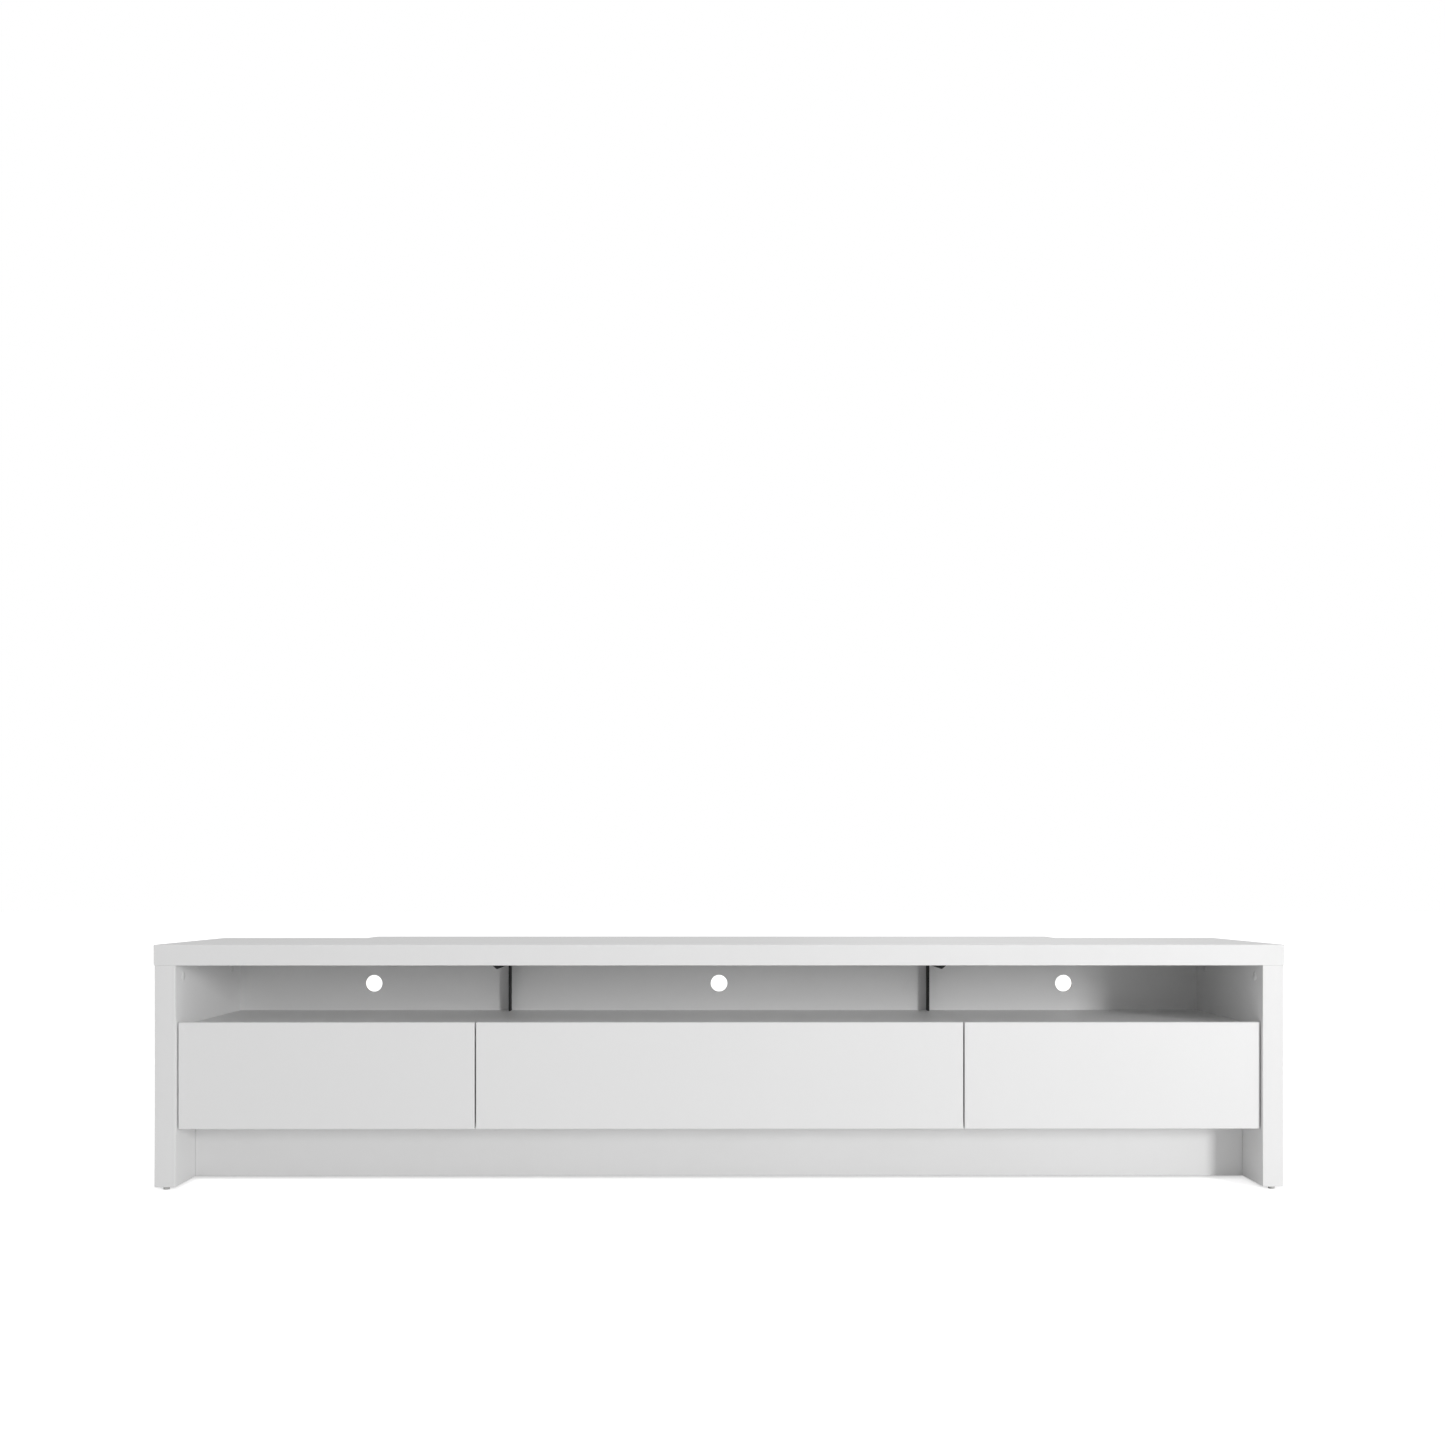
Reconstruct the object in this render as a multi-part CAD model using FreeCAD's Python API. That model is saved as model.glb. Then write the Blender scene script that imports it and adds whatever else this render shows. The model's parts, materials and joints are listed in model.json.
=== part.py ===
"""A low, wide TV stand: an open shelf bay above three drop-down doors, between thick slab sides.

Millimetres. X runs to the right, Y from the front to the back, Z up. The origin is on the floor, under
the middle of the overall box. Every board, fitting and fastener is its own solid, one STEP per node.
"""
import FreeCAD, Part
import os

V = FreeCAD.Vector
X = V(1, 0, 0)
Y = V(0, 1, 0)
Z = V(0, 0, 1)

# ---- driving dimensions -------------------------------------------------------------------------
# overall
WIDTH = 2170.0            # top panel, end to end
HEIGHT = 470.0            # floor to the top surface
BODY_DEPTH = 355.0        # top panel and side panels
EXTENSION_DEPTH = 90.0    # rear extension behind the top panel
# boards
SLAB = 40.0               # thickness of the top, the sides and the rear extension
BOARD = 15.0              # thickness of shelf, bottom, dividers, plinth and doors
BACK = 3.0                # thickness of the hardboard back panels
EDGE_ROUND = 0.8          # rounding of board edges
TOP_OVERHANG = 2.0        # top beyond each side panel
EXTENSION_WIDTH = 1512.0
EXTENSION_OFFSET = -17.0  # middle of the rear extension from the middle of the top
BACK_INSET = 15.0         # front face of the back from the rear edge of the sides
SHELF_HEIGHT = 313.0      # floor to the shelf's upper face
BOTTOM_UNDERSIDE = 121.0  # floor to the bottom panel's lower face
CENTRE_BAY = 940.6        # between the middles of the two dividers
PLINTH_SETBACK = 96.0
REAR_PLINTH_INSET = 15.0  # rear plinth board's back face from the back panels
RIB_SPACING = 720.0       # between the middles of the two plinth ribs
PLINTH_SCREW_INSET = 110.0  # screws into the plinth from the ends of each compartment
CAM_ROW_SPACING = 110.0
FRONT_DOWEL_INSET = 45.0  # front row of dowels from the boards' front edges
BACK_DOWEL_INSET = 18.0
EXTENSION_END = 60.0      # first and last dowel from the extension's ends
EXTENSION_FITTINGS = 9    # dowels and cams in turn
PLINTH_DOWEL_INSET = 30.0
RIB_DOWEL_TOP = 50.0
BACK_SCREW_INSET = 40.0   # first and last screw from a back panel's ends
BACK_SCREWS = 4
BRACKET_SCREW_INSET = 15.0
GROOVE = 8.0              # depth of the back's grooves in the sides
TOP_GROOVE = 6.0          # depth of the back's groove in the top
GROOVE_PLAY = 0.3
BATTEN_WIDTH = 30.0
BATTEN_THICKNESS = 9.0
BATTEN_TOP_GAP = 2.0
# doors
DOOR_RECESS = 8.0         # door faces behind the side panels' front edges
DOOR_LIP = 7.0            # door tops above the shelf, as a finger grip
DOOR_DROP = 6.0           # door bottoms below the bottom panel's lower face
DOOR_SIDE_GAP = 2.5
DOOR_GAP = 3.0            # between two doors
DOOR_BACK_GAP = 3.0       # between the doors and the boards behind them
# cable holes, glides
CABLE_HOLE_R = 18.0
GLIDE_R = 6.0
GLIDE_HEIGHT = 5.0
GLIDE_EDGE = 9.0          # glide centres from the sides' front and back edges
GLIDE_NAIL = 15.0
RIB_GLIDE_SPACING = 120.0
# steel supports
SUPPORT_SPACING = 906.8   # between the middles of the two supports
STEEL = 3.0               # thickness of the supports
LEG_DEPTH = 25.0
ARM_HEIGHT = 16.0
ARM_TIP_SETBACK = 85.0    # arm tip, under the top, from the front edge
ARM_FOOT_SETBACK = 156.0  # lower end of the arm's slanted tip
ARM_CORNER_R = 6.0
FLANGE_WIDTH = 22.0       # screw flange under the top
FLANGE_END = 15.0
TONGUE_WIDTH = 15.0       # tongue that stands in the shelf's slot
TONGUE_DEPTH = 10.0
TONGUE_PLAY = 0.2
# knock-down fittings
CAM_R = 7.4
CAM_DEPTH = 12.4
CAM_PLAY = 0.1
CAM_AXIS = 7.5            # bolt axis below the face that the cam sits in
CAM_REACH = 23.0          # cam centre to the joint
CAM_BOLT_R = 3.4
CAM_THREAD_R = 2.9
CAM_THREAD = 11.0
CAP_R = 8.6
CAP_THICKNESS = 0.8
TOP_CAM_FRONT = 38.0      # cams under the top, from the front edge
TOP_CAM_BACK = 66.0       # and from the rear edge
DOWEL_R = 4.0
DOWEL_LENGTH = 30.0
DOWEL_SHALLOW = 10.0      # dowel depth in the face of a thin board
DOWEL_PLAY = 0.05
DRILL_REST = 1.0          # drilled deeper than the dowel
# hinges
KNUCKLE_R = 3.0
KNUCKLE_GAP = 0.3
PIN_R = 1.5
PIN_PLAY = 0.05
LEAF = 1.5
LEAF_WIDTH = 60.0
LEAF_HEIGHT = 28.0
LEAF_SCREW_INSET = 10.0
HINGE_EDGE = 90.0         # hinge centre from the door's end
# magnetic catches
CATCH_WIDTH = 32.0
CATCH_DEPTH = 18.0
CATCH_HEIGHT = 12.0
CATCH_EAR = 10.0
CATCH_EAR_THICKNESS = 2.5
STRIKE = 1.0
STRIKE_WIDTH = 24.0
CATCH_GAP = 0.3
CENTRE_CATCH_SPACING = 400.0
# folding stays, in a plane across the hinge axis: (back, up) from the axis
STAY_ROOT_BACK = 60.0     # pivot on the cabinet wall, behind the axis
STAY_EAR = (5.0, 100.0)   # pivot on the door
STAY_CLEARANCE = 1.7      # open arm above the bottom panel
STAY_BAR = 2.5
STAY_HALF_WIDTH = 5.0
STAY_HOLE_R = 2.5
STAY_PIN_R = 2.45
STAY_OPEN_PIN_R = 2.3     # pin in the link's free hole
STAY_HEAD_R = 4.0
STAY_PLATE = 2.0
STAY_PLATE_WIDTH = 32.0
STAY_PLATE_HEIGHT = 30.0
ARM_PLANE = 3.0           # near face of the arm from the wall
LINK_PLANE = 7.0
EAR_PLANE = 11.0
EAR_FOOT_WIDTH = 16.0
EAR_FOOT_HEIGHT = 36.0
# fasteners: (radius, distance from the head's face) points
SCREW = [(3.4, 0.0), (3.4, 0.3), (1.7, 2.2), (1.7, 11.0), (0.3, 13.0)]
BACK_SCREW_HEAD = [(2.6, -1.6), (3.4, -1.0), (3.4, 0.0)]
BACK_SCREW_SHANK = [(1.5, 0.0), (1.5, 18.0), (0.3, 20.0)]
CONFIRMAT = [(5.0, 0.0), (5.0, 1.2), (3.5, 3.2), (3.5, 12.0), (2.6, 12.0), (2.6, 47.0), (0.8, 50.0)]
FASTENER_PLAY = 0.1
RECESS_WIDTH = 0.8
RECESS_DEPTH = 1.2

# ---- places that follow from them ---------------------------------------------------------------
rear = (BODY_DEPTH + EXTENSION_DEPTH) / 2
front = -rear
body_back = front + BODY_DEPTH
side_outer = WIDTH / 2 - TOP_OVERHANG
side_inner = side_outer - SLAB
top_under = HEIGHT - SLAB
back_face = body_back - BACK_INSET
shelf_under = SHELF_HEIGHT - BOARD
bottom_top = BOTTOM_UNDERSIDE + BOARD
door_front = front + DOOR_RECESS
door_back = door_front + BOARD
door_top = SHELF_HEIGHT + DOOR_LIP
door_bottom = BOTTOM_UNDERSIDE - DOOR_DROP
board_front = door_back + DOOR_BACK_GAP
divider_x = CENTRE_BAY / 2
support_x = SUPPORT_SPACING / 2
extension_left = EXTENSION_OFFSET - EXTENSION_WIDTH / 2
extension_right = EXTENSION_OFFSET + EXTENSION_WIDTH / 2
plinth_face = front + PLINTH_SETBACK
plinth_middle = plinth_face + BOARD / 2
rear_plinth_back = back_face - REAR_PLINTH_INSET
rear_plinth_middle = rear_plinth_back - BOARD / 2
rib_x = RIB_SPACING / 2
rib_front = plinth_face + BOARD
rib_back = rear_plinth_back - BOARD
hinge_offset = KNUCKLE_R + KNUCKLE_GAP
hinge_y = door_back + hinge_offset
hinge_z = BOTTOM_UNDERSIDE - hinge_offset
stay_root_z = bottom_top + STAY_CLEARANCE + STAY_HALF_WIDTH
door_ends = {
    "left": (-side_inner + DOOR_SIDE_GAP, -divider_x - DOOR_GAP / 2),
    "centre": (-divider_x + DOOR_GAP / 2, divider_x - DOOR_GAP / 2),
    "right": (divider_x + DOOR_GAP / 2, side_inner - DOOR_SIDE_GAP),
}
back_ends = {
    "left": (-side_inner - GROOVE + GROOVE_PLAY, -support_x),
    "centre": (-support_x, support_x),
    "right": (support_x, side_inner + GROOVE - GROOVE_PLAY),
}
# rows of fittings, front to back
middle_depth = (rib_front + rib_back) / 2
cam_rows = (middle_depth - CAM_ROW_SPACING / 2, middle_depth + CAM_ROW_SPACING / 2)
dowel_rows = (board_front + FRONT_DOWEL_INSET, middle_depth)
divider_dowel_rows = (board_front + FRONT_DOWEL_INSET, back_face - BACK_DOWEL_INSET)

pieces = {}               # node: list of its solids
holes = {}                # node: list of the shapes cut from it


# ---- helpers ------------------------------------------------------------------------------------
def add(node, solid):
    """Put a solid in a node."""
    pieces.setdefault(node, []).append(solid)


def drill(nodes, tool):
    """Cut a shape from each of the nodes when they are written."""
    for node in nodes:
        holes.setdefault(node, []).append(tool)


def block(x, y, z):
    """Box between the two ends given for each axis."""
    size = [abs(end[1] - end[0]) for end in (x, y, z)]
    return Part.makeBox(*size, V(min(x), min(y), min(z)))


def board(x, y, z):
    """Box with rounded edges, for a board or a door."""
    shape = block(x, y, z)
    return shape.makeFillet(EDGE_ROUND, shape.Edges)


def rod(start, axis, radius, length):
    """Cylinder from a point along an axis."""
    return Part.makeCylinder(radius, length, start, axis)


def turned(profile):
    """Solid of revolution about Z through (radius, height) points."""
    points = [V(0, 0, profile[0][1])]
    points += [V(radius, 0, height) for radius, height in profile]
    points += [V(0, 0, profile[-1][1])]
    solid = Part.Face(Part.makePolygon(points + points[:1])).revolve(V(0, 0, 0), Z, 360)
    return solid if solid.Volume > 0 else solid.reversed()


def grown(profile, play):
    """Profile of the hole for a turned fastener."""
    deep = [(radius + play, height) for radius, height in profile]
    deep[-1] = (deep[-1][0], deep[-1][1] + play)
    return deep


def placed(shape, origin, axis):
    """Copy of a shape with its Z turned to an axis."""
    copy = shape.copy()
    move = FreeCAD.Placement(origin, FreeCAD.Rotation(Z, axis))
    copy.Placement = move.multiply(shape.Placement)
    return copy


def framed(shape, origin, x_axis, z_axis):
    """Copy of a shape with its X and Z turned to two square axes."""
    copy = shape.copy()
    turn = FreeCAD.Rotation(x_axis, z_axis.cross(x_axis), z_axis, "ZXY")
    copy.Placement = FreeCAD.Placement(origin, turn).multiply(shape.Placement)
    return copy


def spread(first, last, count):
    """Evenly spaced values from first to last."""
    return [first + (last - first) * i / (count - 1) for i in range(count)]


def cross_recess(head_height=0.0):
    """Shape of a cross recess in a screw head at the origin."""
    reach = 4 * RECESS_WIDTH
    span = (-reach / 2, reach / 2)
    thin = (-RECESS_WIDTH / 2, RECESS_WIDTH / 2)
    depth = (head_height, head_height + RECESS_DEPTH)
    return block(span, thin, depth).fuse(block(thin, span, depth))


# ---- fasteners ----------------------------------------------------------------------------------
screw_shape = turned(SCREW).cut(cross_recess())
screw_hole = turned(grown(SCREW, FASTENER_PLAY))
back_screw_shape = turned(BACK_SCREW_HEAD + BACK_SCREW_SHANK).cut(cross_recess(BACK_SCREW_HEAD[0][1]))
back_screw_hole = turned(grown(BACK_SCREW_SHANK, FASTENER_PLAY))
confirmat_shape = turned(CONFIRMAT).cut(cross_recess())
confirmat_hole = turned(grown(CONFIRMAT, FASTENER_PLAY))
cap_shape = turned([(CAP_R - 0.4, -CAP_THICKNESS), (CAP_R, 0.4 - CAP_THICKNESS), (CAP_R, 0.0)])


def fasten(node, shape, hole, boards, head, axis):
    """Put one fastener in its node and drill what it goes through."""
    add(node, placed(shape, head, axis))
    drill(boards, placed(hole, head, axis))


def wood_screw(node, boards, head, axis):
    """Short countersunk wood screw."""
    fasten(node, screw_shape, screw_hole, boards, head, axis)


def dowel(boards, joint, axis, depth=DOWEL_LENGTH / 2):
    """Dowel across a joint; depth is how far it stands in the board behind the joint."""
    start = joint - axis * depth
    add("dowels", rod(start, axis, DOWEL_R, DOWEL_LENGTH))
    hole_start = start - axis * DRILL_REST
    drill(boards, rod(hole_start, axis, DOWEL_R + DOWEL_PLAY, DOWEL_LENGTH + 2 * DRILL_REST))


def cam_shapes():
    """Cam, bolt and their holes: cam centre at the origin, Z into the board, X to the joint."""
    bolt_start = V(0, 0, CAM_AXIS)
    head_back = -3.0
    neck = 4.0
    bolt_profile = [
        (CAM_BOLT_R, head_back), (CAM_BOLT_R, 0), (CAM_BOLT_R - 1.2, 0), (CAM_BOLT_R - 1.2, neck),
        (CAM_BOLT_R, neck), (CAM_BOLT_R, CAM_REACH), (CAM_THREAD_R, CAM_REACH),
        (CAM_THREAD_R, CAM_REACH + CAM_THREAD - 1), (CAM_THREAD_R - 1, CAM_REACH + CAM_THREAD)]
    bolt = placed(turned(bolt_profile), bolt_start, X)
    channel_start = bolt_start + X * (head_back - 1)
    channel = rod(channel_start, X, CAM_BOLT_R + 0.2, CAM_REACH - head_back + 1)
    cam = rod(V(0, 0, 0), Z, CAM_R, CAM_DEPTH).cut([channel, cross_recess()])
    pocket = rod(V(0, 0, 0), Z, CAM_R + CAM_PLAY, CAM_DEPTH + CAM_PLAY)
    thread_start = bolt_start + X * CAM_REACH
    thread_hole = rod(thread_start, X, CAM_THREAD_R + CAM_PLAY, CAM_THREAD + CAM_PLAY)
    return cam, bolt, pocket, channel, thread_hole


cam_shape, cam_bolt_shape, cam_pocket, cam_channel, cam_thread_hole = cam_shapes()


def cam_joint(cam_board, bolt_board, centre, to_joint, into_board):
    """Cam lock in one board, its bolt in the other, and the cap over it."""
    add("cam_locks", framed(cam_shape, centre, to_joint, into_board))
    add("cam_bolts", framed(cam_bolt_shape, centre, to_joint, into_board))
    add("cam_caps", framed(cap_shape, centre, to_joint, into_board))
    drill([cam_board], framed(cam_pocket, centre, to_joint, into_board))
    drill([cam_board], framed(cam_channel, centre, to_joint, into_board))
    drill([bolt_board], framed(cam_thread_hole, centre, to_joint, into_board))


# ---- carcass boards -----------------------------------------------------------------------------
def make_boards():
    """Top, sides, shelf, bottom, dividers and plinth."""
    inner = (-side_inner, side_inner)
    depth = (front, body_back)
    run = (board_front, back_face)
    add("top_panel", board((-WIDTH / 2, WIDTH / 2), depth, (top_under, HEIGHT)))
    add("rear_extension", board((extension_left, extension_right), (body_back, rear), (top_under, HEIGHT)))
    for name, sign in (("left", -1), ("right", 1)):
        ends = (sign * side_inner, sign * side_outer)
        add("side_panel_" + name, board(ends, depth, (GLIDE_HEIGHT, top_under)))
        x = sign * divider_x
        add("divider_" + name, block((x - BOARD / 2, x + BOARD / 2), run, (bottom_top, shelf_under)))
        x = sign * rib_x
        rib = block((x - BOARD / 2, x + BOARD / 2), (rib_front, rib_back), (GLIDE_HEIGHT, BOTTOM_UNDERSIDE))
        add("plinth_rib_" + name, rib)
    add("shelf_panel", block(inner, run, (shelf_under, SHELF_HEIGHT)))
    add("bottom_panel", block(inner, run, (BOTTOM_UNDERSIDE, bottom_top)))
    for name, face in (("front", plinth_face), ("rear", rear_plinth_back - BOARD)):
        add("plinth_" + name, block(inner, (face, face + BOARD), (GLIDE_HEIGHT, BOTTOM_UNDERSIDE)))


def make_back():
    """Three back panels in their grooves, with a batten behind each joint."""
    thickness = (back_face, back_face + BACK)
    groove = (back_face, back_face + BACK + GROOVE_PLAY)
    hole_z = (SHELF_HEIGHT + top_under) / 2
    for name, ends in back_ends.items():
        node = "back_panel_" + name
        add(node, block(ends, thickness, (BOTTOM_UNDERSIDE, top_under + TOP_GROOVE - GROOVE_PLAY)))
        centre = V((ends[0] + ends[1]) / 2, back_face - 1, hole_z)
        drill([node], rod(centre, Y, CABLE_HOLE_R, BACK + 2))
    groove_end = side_inner + GROOVE
    drill(["top_panel"], block((-groove_end, groove_end), groove, (top_under, top_under + TOP_GROOVE)))
    for name, sign in (("left", -1), ("right", 1)):
        ends = (sign * side_inner, sign * groove_end)
        drill(["side_panel_" + name], block(ends, groove, (BOTTOM_UNDERSIDE, top_under)))
        x = sign * support_x
        width = (x - BATTEN_WIDTH / 2, x + BATTEN_WIDTH / 2)
        batten_back = back_face + BACK + BATTEN_THICKNESS
        batten = block(width, (back_face + BACK, batten_back), (BOTTOM_UNDERSIDE, top_under - BATTEN_TOP_GAP))
        add("back_batten_" + name, batten)


def make_glides():
    """Plastic glides with nails, under the sides and the plinth ribs."""
    profile = [(GLIDE_R - 1, 0.0), (GLIDE_R, 1.0), (GLIDE_R, GLIDE_HEIGHT), (1.2, GLIDE_HEIGHT),
               (1.2, GLIDE_HEIGHT + GLIDE_NAIL - 2), (0.2, GLIDE_HEIGHT + GLIDE_NAIL)]
    glide = turned(profile)
    nail_hole = turned(grown(profile[3:], FASTENER_PLAY))
    side_middle = (side_inner + side_outer) / 2
    for name, sign in (("left", -1), ("right", 1)):
        for y in (front + GLIDE_EDGE, body_back - GLIDE_EDGE):
            fasten("glides", glide, nail_hole, ["side_panel_" + name], V(sign * side_middle, y, 0), Z)
        for y in (middle_depth - RIB_GLIDE_SPACING / 2, middle_depth + RIB_GLIDE_SPACING / 2):
            fasten("glides", glide, nail_hole, ["plinth_rib_" + name], V(sign * rib_x, y, 0), Z)


# ---- carcass joints -----------------------------------------------------------------------------
def join_top():
    """Cams and dowels between the top, the sides and the rear extension."""
    side_middle = (side_inner + side_outer) / 2
    for name, sign in (("left", -1), ("right", 1)):
        side = "side_panel_" + name
        for y in (front + TOP_CAM_FRONT, body_back - TOP_CAM_BACK):
            centre = V(sign * side_inner, y, top_under - CAM_REACH)
            cam_joint(side, "top_panel", centre, Z, X * sign)
        for y in cam_rows:
            dowel([side, "top_panel"], V(sign * side_middle, y, top_under), Z)
    ends = spread(extension_left + EXTENSION_END, extension_right - EXTENSION_END, EXTENSION_FITTINGS)
    for index, x in enumerate(ends):
        if index % 2:
            centre = V(x, body_back + CAM_REACH, top_under)
            cam_joint("rear_extension", "top_panel", centre, -Y, Z)
        else:
            middle = V(x, body_back, (top_under + HEIGHT) / 2)
            dowel(["rear_extension", "top_panel"], middle, Y, DOWEL_SHALLOW)


def join_long_boards():
    """Cams and dowels at the ends of the shelf, the bottom and the plinth boards."""
    for name, sign in (("left", -1), ("right", 1)):
        side = "side_panel_" + name
        outward = X * sign
        for node, under in (("shelf_panel", shelf_under), ("bottom_panel", BOTTOM_UNDERSIDE)):
            for y in cam_rows:
                centre = V(sign * (side_inner - CAM_REACH), y, under)
                cam_joint(node, side, centre, outward, Z)
            for y in dowel_rows:
                dowel([node, side], V(sign * side_inner, y, under + BOARD / 2), outward)
        for node, y in (("plinth_front", plinth_middle), ("plinth_rear", rear_plinth_middle)):
            for z in (GLIDE_HEIGHT + PLINTH_DOWEL_INSET, BOTTOM_UNDERSIDE - PLINTH_DOWEL_INSET):
                dowel([node, side], V(sign * side_inner, y, z), outward)


def join_dividers_and_plinth():
    """Cams, dowels and confirmat screws of the dividers, plinth boards and ribs."""
    for name, sign in (("left", -1), ("right", 1)):
        divider = "divider_" + name
        rib = "plinth_rib_" + name
        x = sign * divider_x
        outer_face = x + sign * BOARD / 2
        for y in cam_rows:
            centre = V(outer_face, y, shelf_under - CAM_REACH)
            cam_joint(divider, "shelf_panel", centre, Z, X * -sign)
            confirmat(["bottom_panel", divider], V(x, y, BOTTOM_UNDERSIDE), Z, capped=False)
        for y in divider_dowel_rows:
            dowel([divider, "shelf_panel"], V(x, y, shelf_under), -Z, DOWEL_SHALLOW)
            dowel([divider, "bottom_panel"], V(x, y, bottom_top), Z, DOWEL_SHALLOW)
        for z in (GLIDE_HEIGHT + PLINTH_DOWEL_INSET, BOTTOM_UNDERSIDE - RIB_DOWEL_TOP):
            dowel(["plinth_front", rib], V(sign * rib_x, rib_front, z), Y, DOWEL_SHALLOW)
            dowel(["plinth_rear", rib], V(sign * rib_x, rib_back, z), -Y, DOWEL_SHALLOW)
        confirmat(["bottom_panel", rib], V(sign * rib_x, middle_depth, bottom_top), -Z)
    for ends in door_ends.values():
        for x in (ends[0] + PLINTH_SCREW_INSET, ends[1] - PLINTH_SCREW_INSET):
            for node, y in (("plinth_front", plinth_middle), ("plinth_rear", rear_plinth_middle)):
                confirmat(["bottom_panel", node], V(x, y, bottom_top), -Z)


def confirmat(boards, head, axis, capped=True):
    """Confirmat screw, with a cap over its head where it would show."""
    fasten("confirmat_screws", confirmat_shape, confirmat_hole, boards, head, axis)
    if capped:
        add("confirmat_caps", placed(cap_shape, head, axis))


def fix_back():
    """Pan-head screws through the back panels and battens into the shelf and the bottom."""
    for node, z in (("shelf_panel", shelf_under + BOARD / 2), ("bottom_panel", BOTTOM_UNDERSIDE + BOARD / 2)):
        for name, ends in back_ends.items():
            for x in spread(ends[0] + BACK_SCREW_INSET, ends[1] - BACK_SCREW_INSET, BACK_SCREWS):
                head = V(x, back_face + BACK, z)
                fasten("back_panel_screws", back_screw_shape, back_screw_hole,
                       ["back_panel_" + name, node], head, -Y)
        for name, sign in (("left", -1), ("right", 1)):
            for outward, panel in ((sign, name), (-sign, "centre")):
                x = sign * support_x + outward * BATTEN_WIDTH / 4
                head = V(x, back_face + BACK + BATTEN_THICKNESS, z)
                fasten("back_panel_screws", back_screw_shape, back_screw_hole,
                       ["back_batten_" + name, "back_panel_" + panel, node], head, -Y)


# ---- steel supports -----------------------------------------------------------------------------
def make_supports():
    """Leg against the back, arm and screw flange under the top, tongue in the shelf."""
    leg_front = back_face - LEG_DEPTH
    arm_under = top_under - ARM_HEIGHT
    tip = front + ARM_TIP_SETBACK
    outline = [(back_face, SHELF_HEIGHT), (leg_front, SHELF_HEIGHT), (leg_front, arm_under),
               (front + ARM_FOOT_SETBACK, arm_under), (tip, top_under - 0.5), (tip, top_under),
               (back_face, top_under)]
    tongue_middle = back_face - LEG_DEPTH / 2
    tongue = (tongue_middle - TONGUE_WIDTH / 2, tongue_middle + TONGUE_WIDTH / 2)
    tongue_foot = SHELF_HEIGHT - TONGUE_DEPTH
    for name, sign in (("left", -1), ("right", 1)):
        node = "support_bracket_" + name
        x = sign * support_x
        near = x - STEEL / 2
        points = [V(near, y, z) for y, z in outline]
        plate = Part.Face(Part.makePolygon(points + points[:1])).extrude(X * STEEL)
        inner_corner = [edge for edge in plate.Edges
                        if abs(edge.CenterOfMass.y - leg_front) < 0.01
                        and abs(edge.CenterOfMass.z - arm_under) < 0.01]
        plate = plate.makeFillet(ARM_CORNER_R, inner_corner)
        flange = block((x - sign * STEEL / 2, x - sign * (FLANGE_WIDTH - STEEL / 2)),
                       (tip + FLANGE_END, back_face - FLANGE_END), (top_under - STEEL, top_under))
        foot = block((near, near + STEEL), tongue, (tongue_foot, SHELF_HEIGHT))
        add(node, plate.fuse([flange, foot]).removeSplitter())
        slot_y = (tongue[0] - TONGUE_PLAY, tongue[1] + TONGUE_PLAY)
        slot_x = (near - TONGUE_PLAY, near + STEEL + TONGUE_PLAY)
        drill(["shelf_panel"], block(slot_x, slot_y, (tongue_foot - TONGUE_PLAY, SHELF_HEIGHT + 1)))
        margin = FLANGE_END + BRACKET_SCREW_INSET
        for y in spread(tip + margin, back_face - margin, 3):
            head = V(x - sign * FLANGE_WIDTH / 2, y, top_under - STEEL)
            wood_screw("carcass_screws", [node, "top_panel"], head, Z)


# ---- doors --------------------------------------------------------------------------------------
def make_door(name):
    """Door panel with its hinges, catch strikes and screws."""
    ends = door_ends[name]
    node = "door_" + name
    add(node, board(ends, (door_front, door_back), (door_bottom, door_top)))
    middle = (ends[0] + ends[1]) / 2
    hinge_count = 3 if name == "centre" else 2
    for x in spread(ends[0] + HINGE_EDGE, ends[1] - HINGE_EDGE, hinge_count):
        make_hinge(node, x)
    offsets = (-CENTRE_CATCH_SPACING / 2, CENTRE_CATCH_SPACING / 2) if name == "centre" else (0.0,)
    for offset in offsets:
        make_catch(node, middle + offset)


def knuckle(x, width):
    """Rolled knuckle about the hinge axis, without its bore."""
    return rod(V(x, hinge_y, hinge_z), X, KNUCKLE_R, width)


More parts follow.
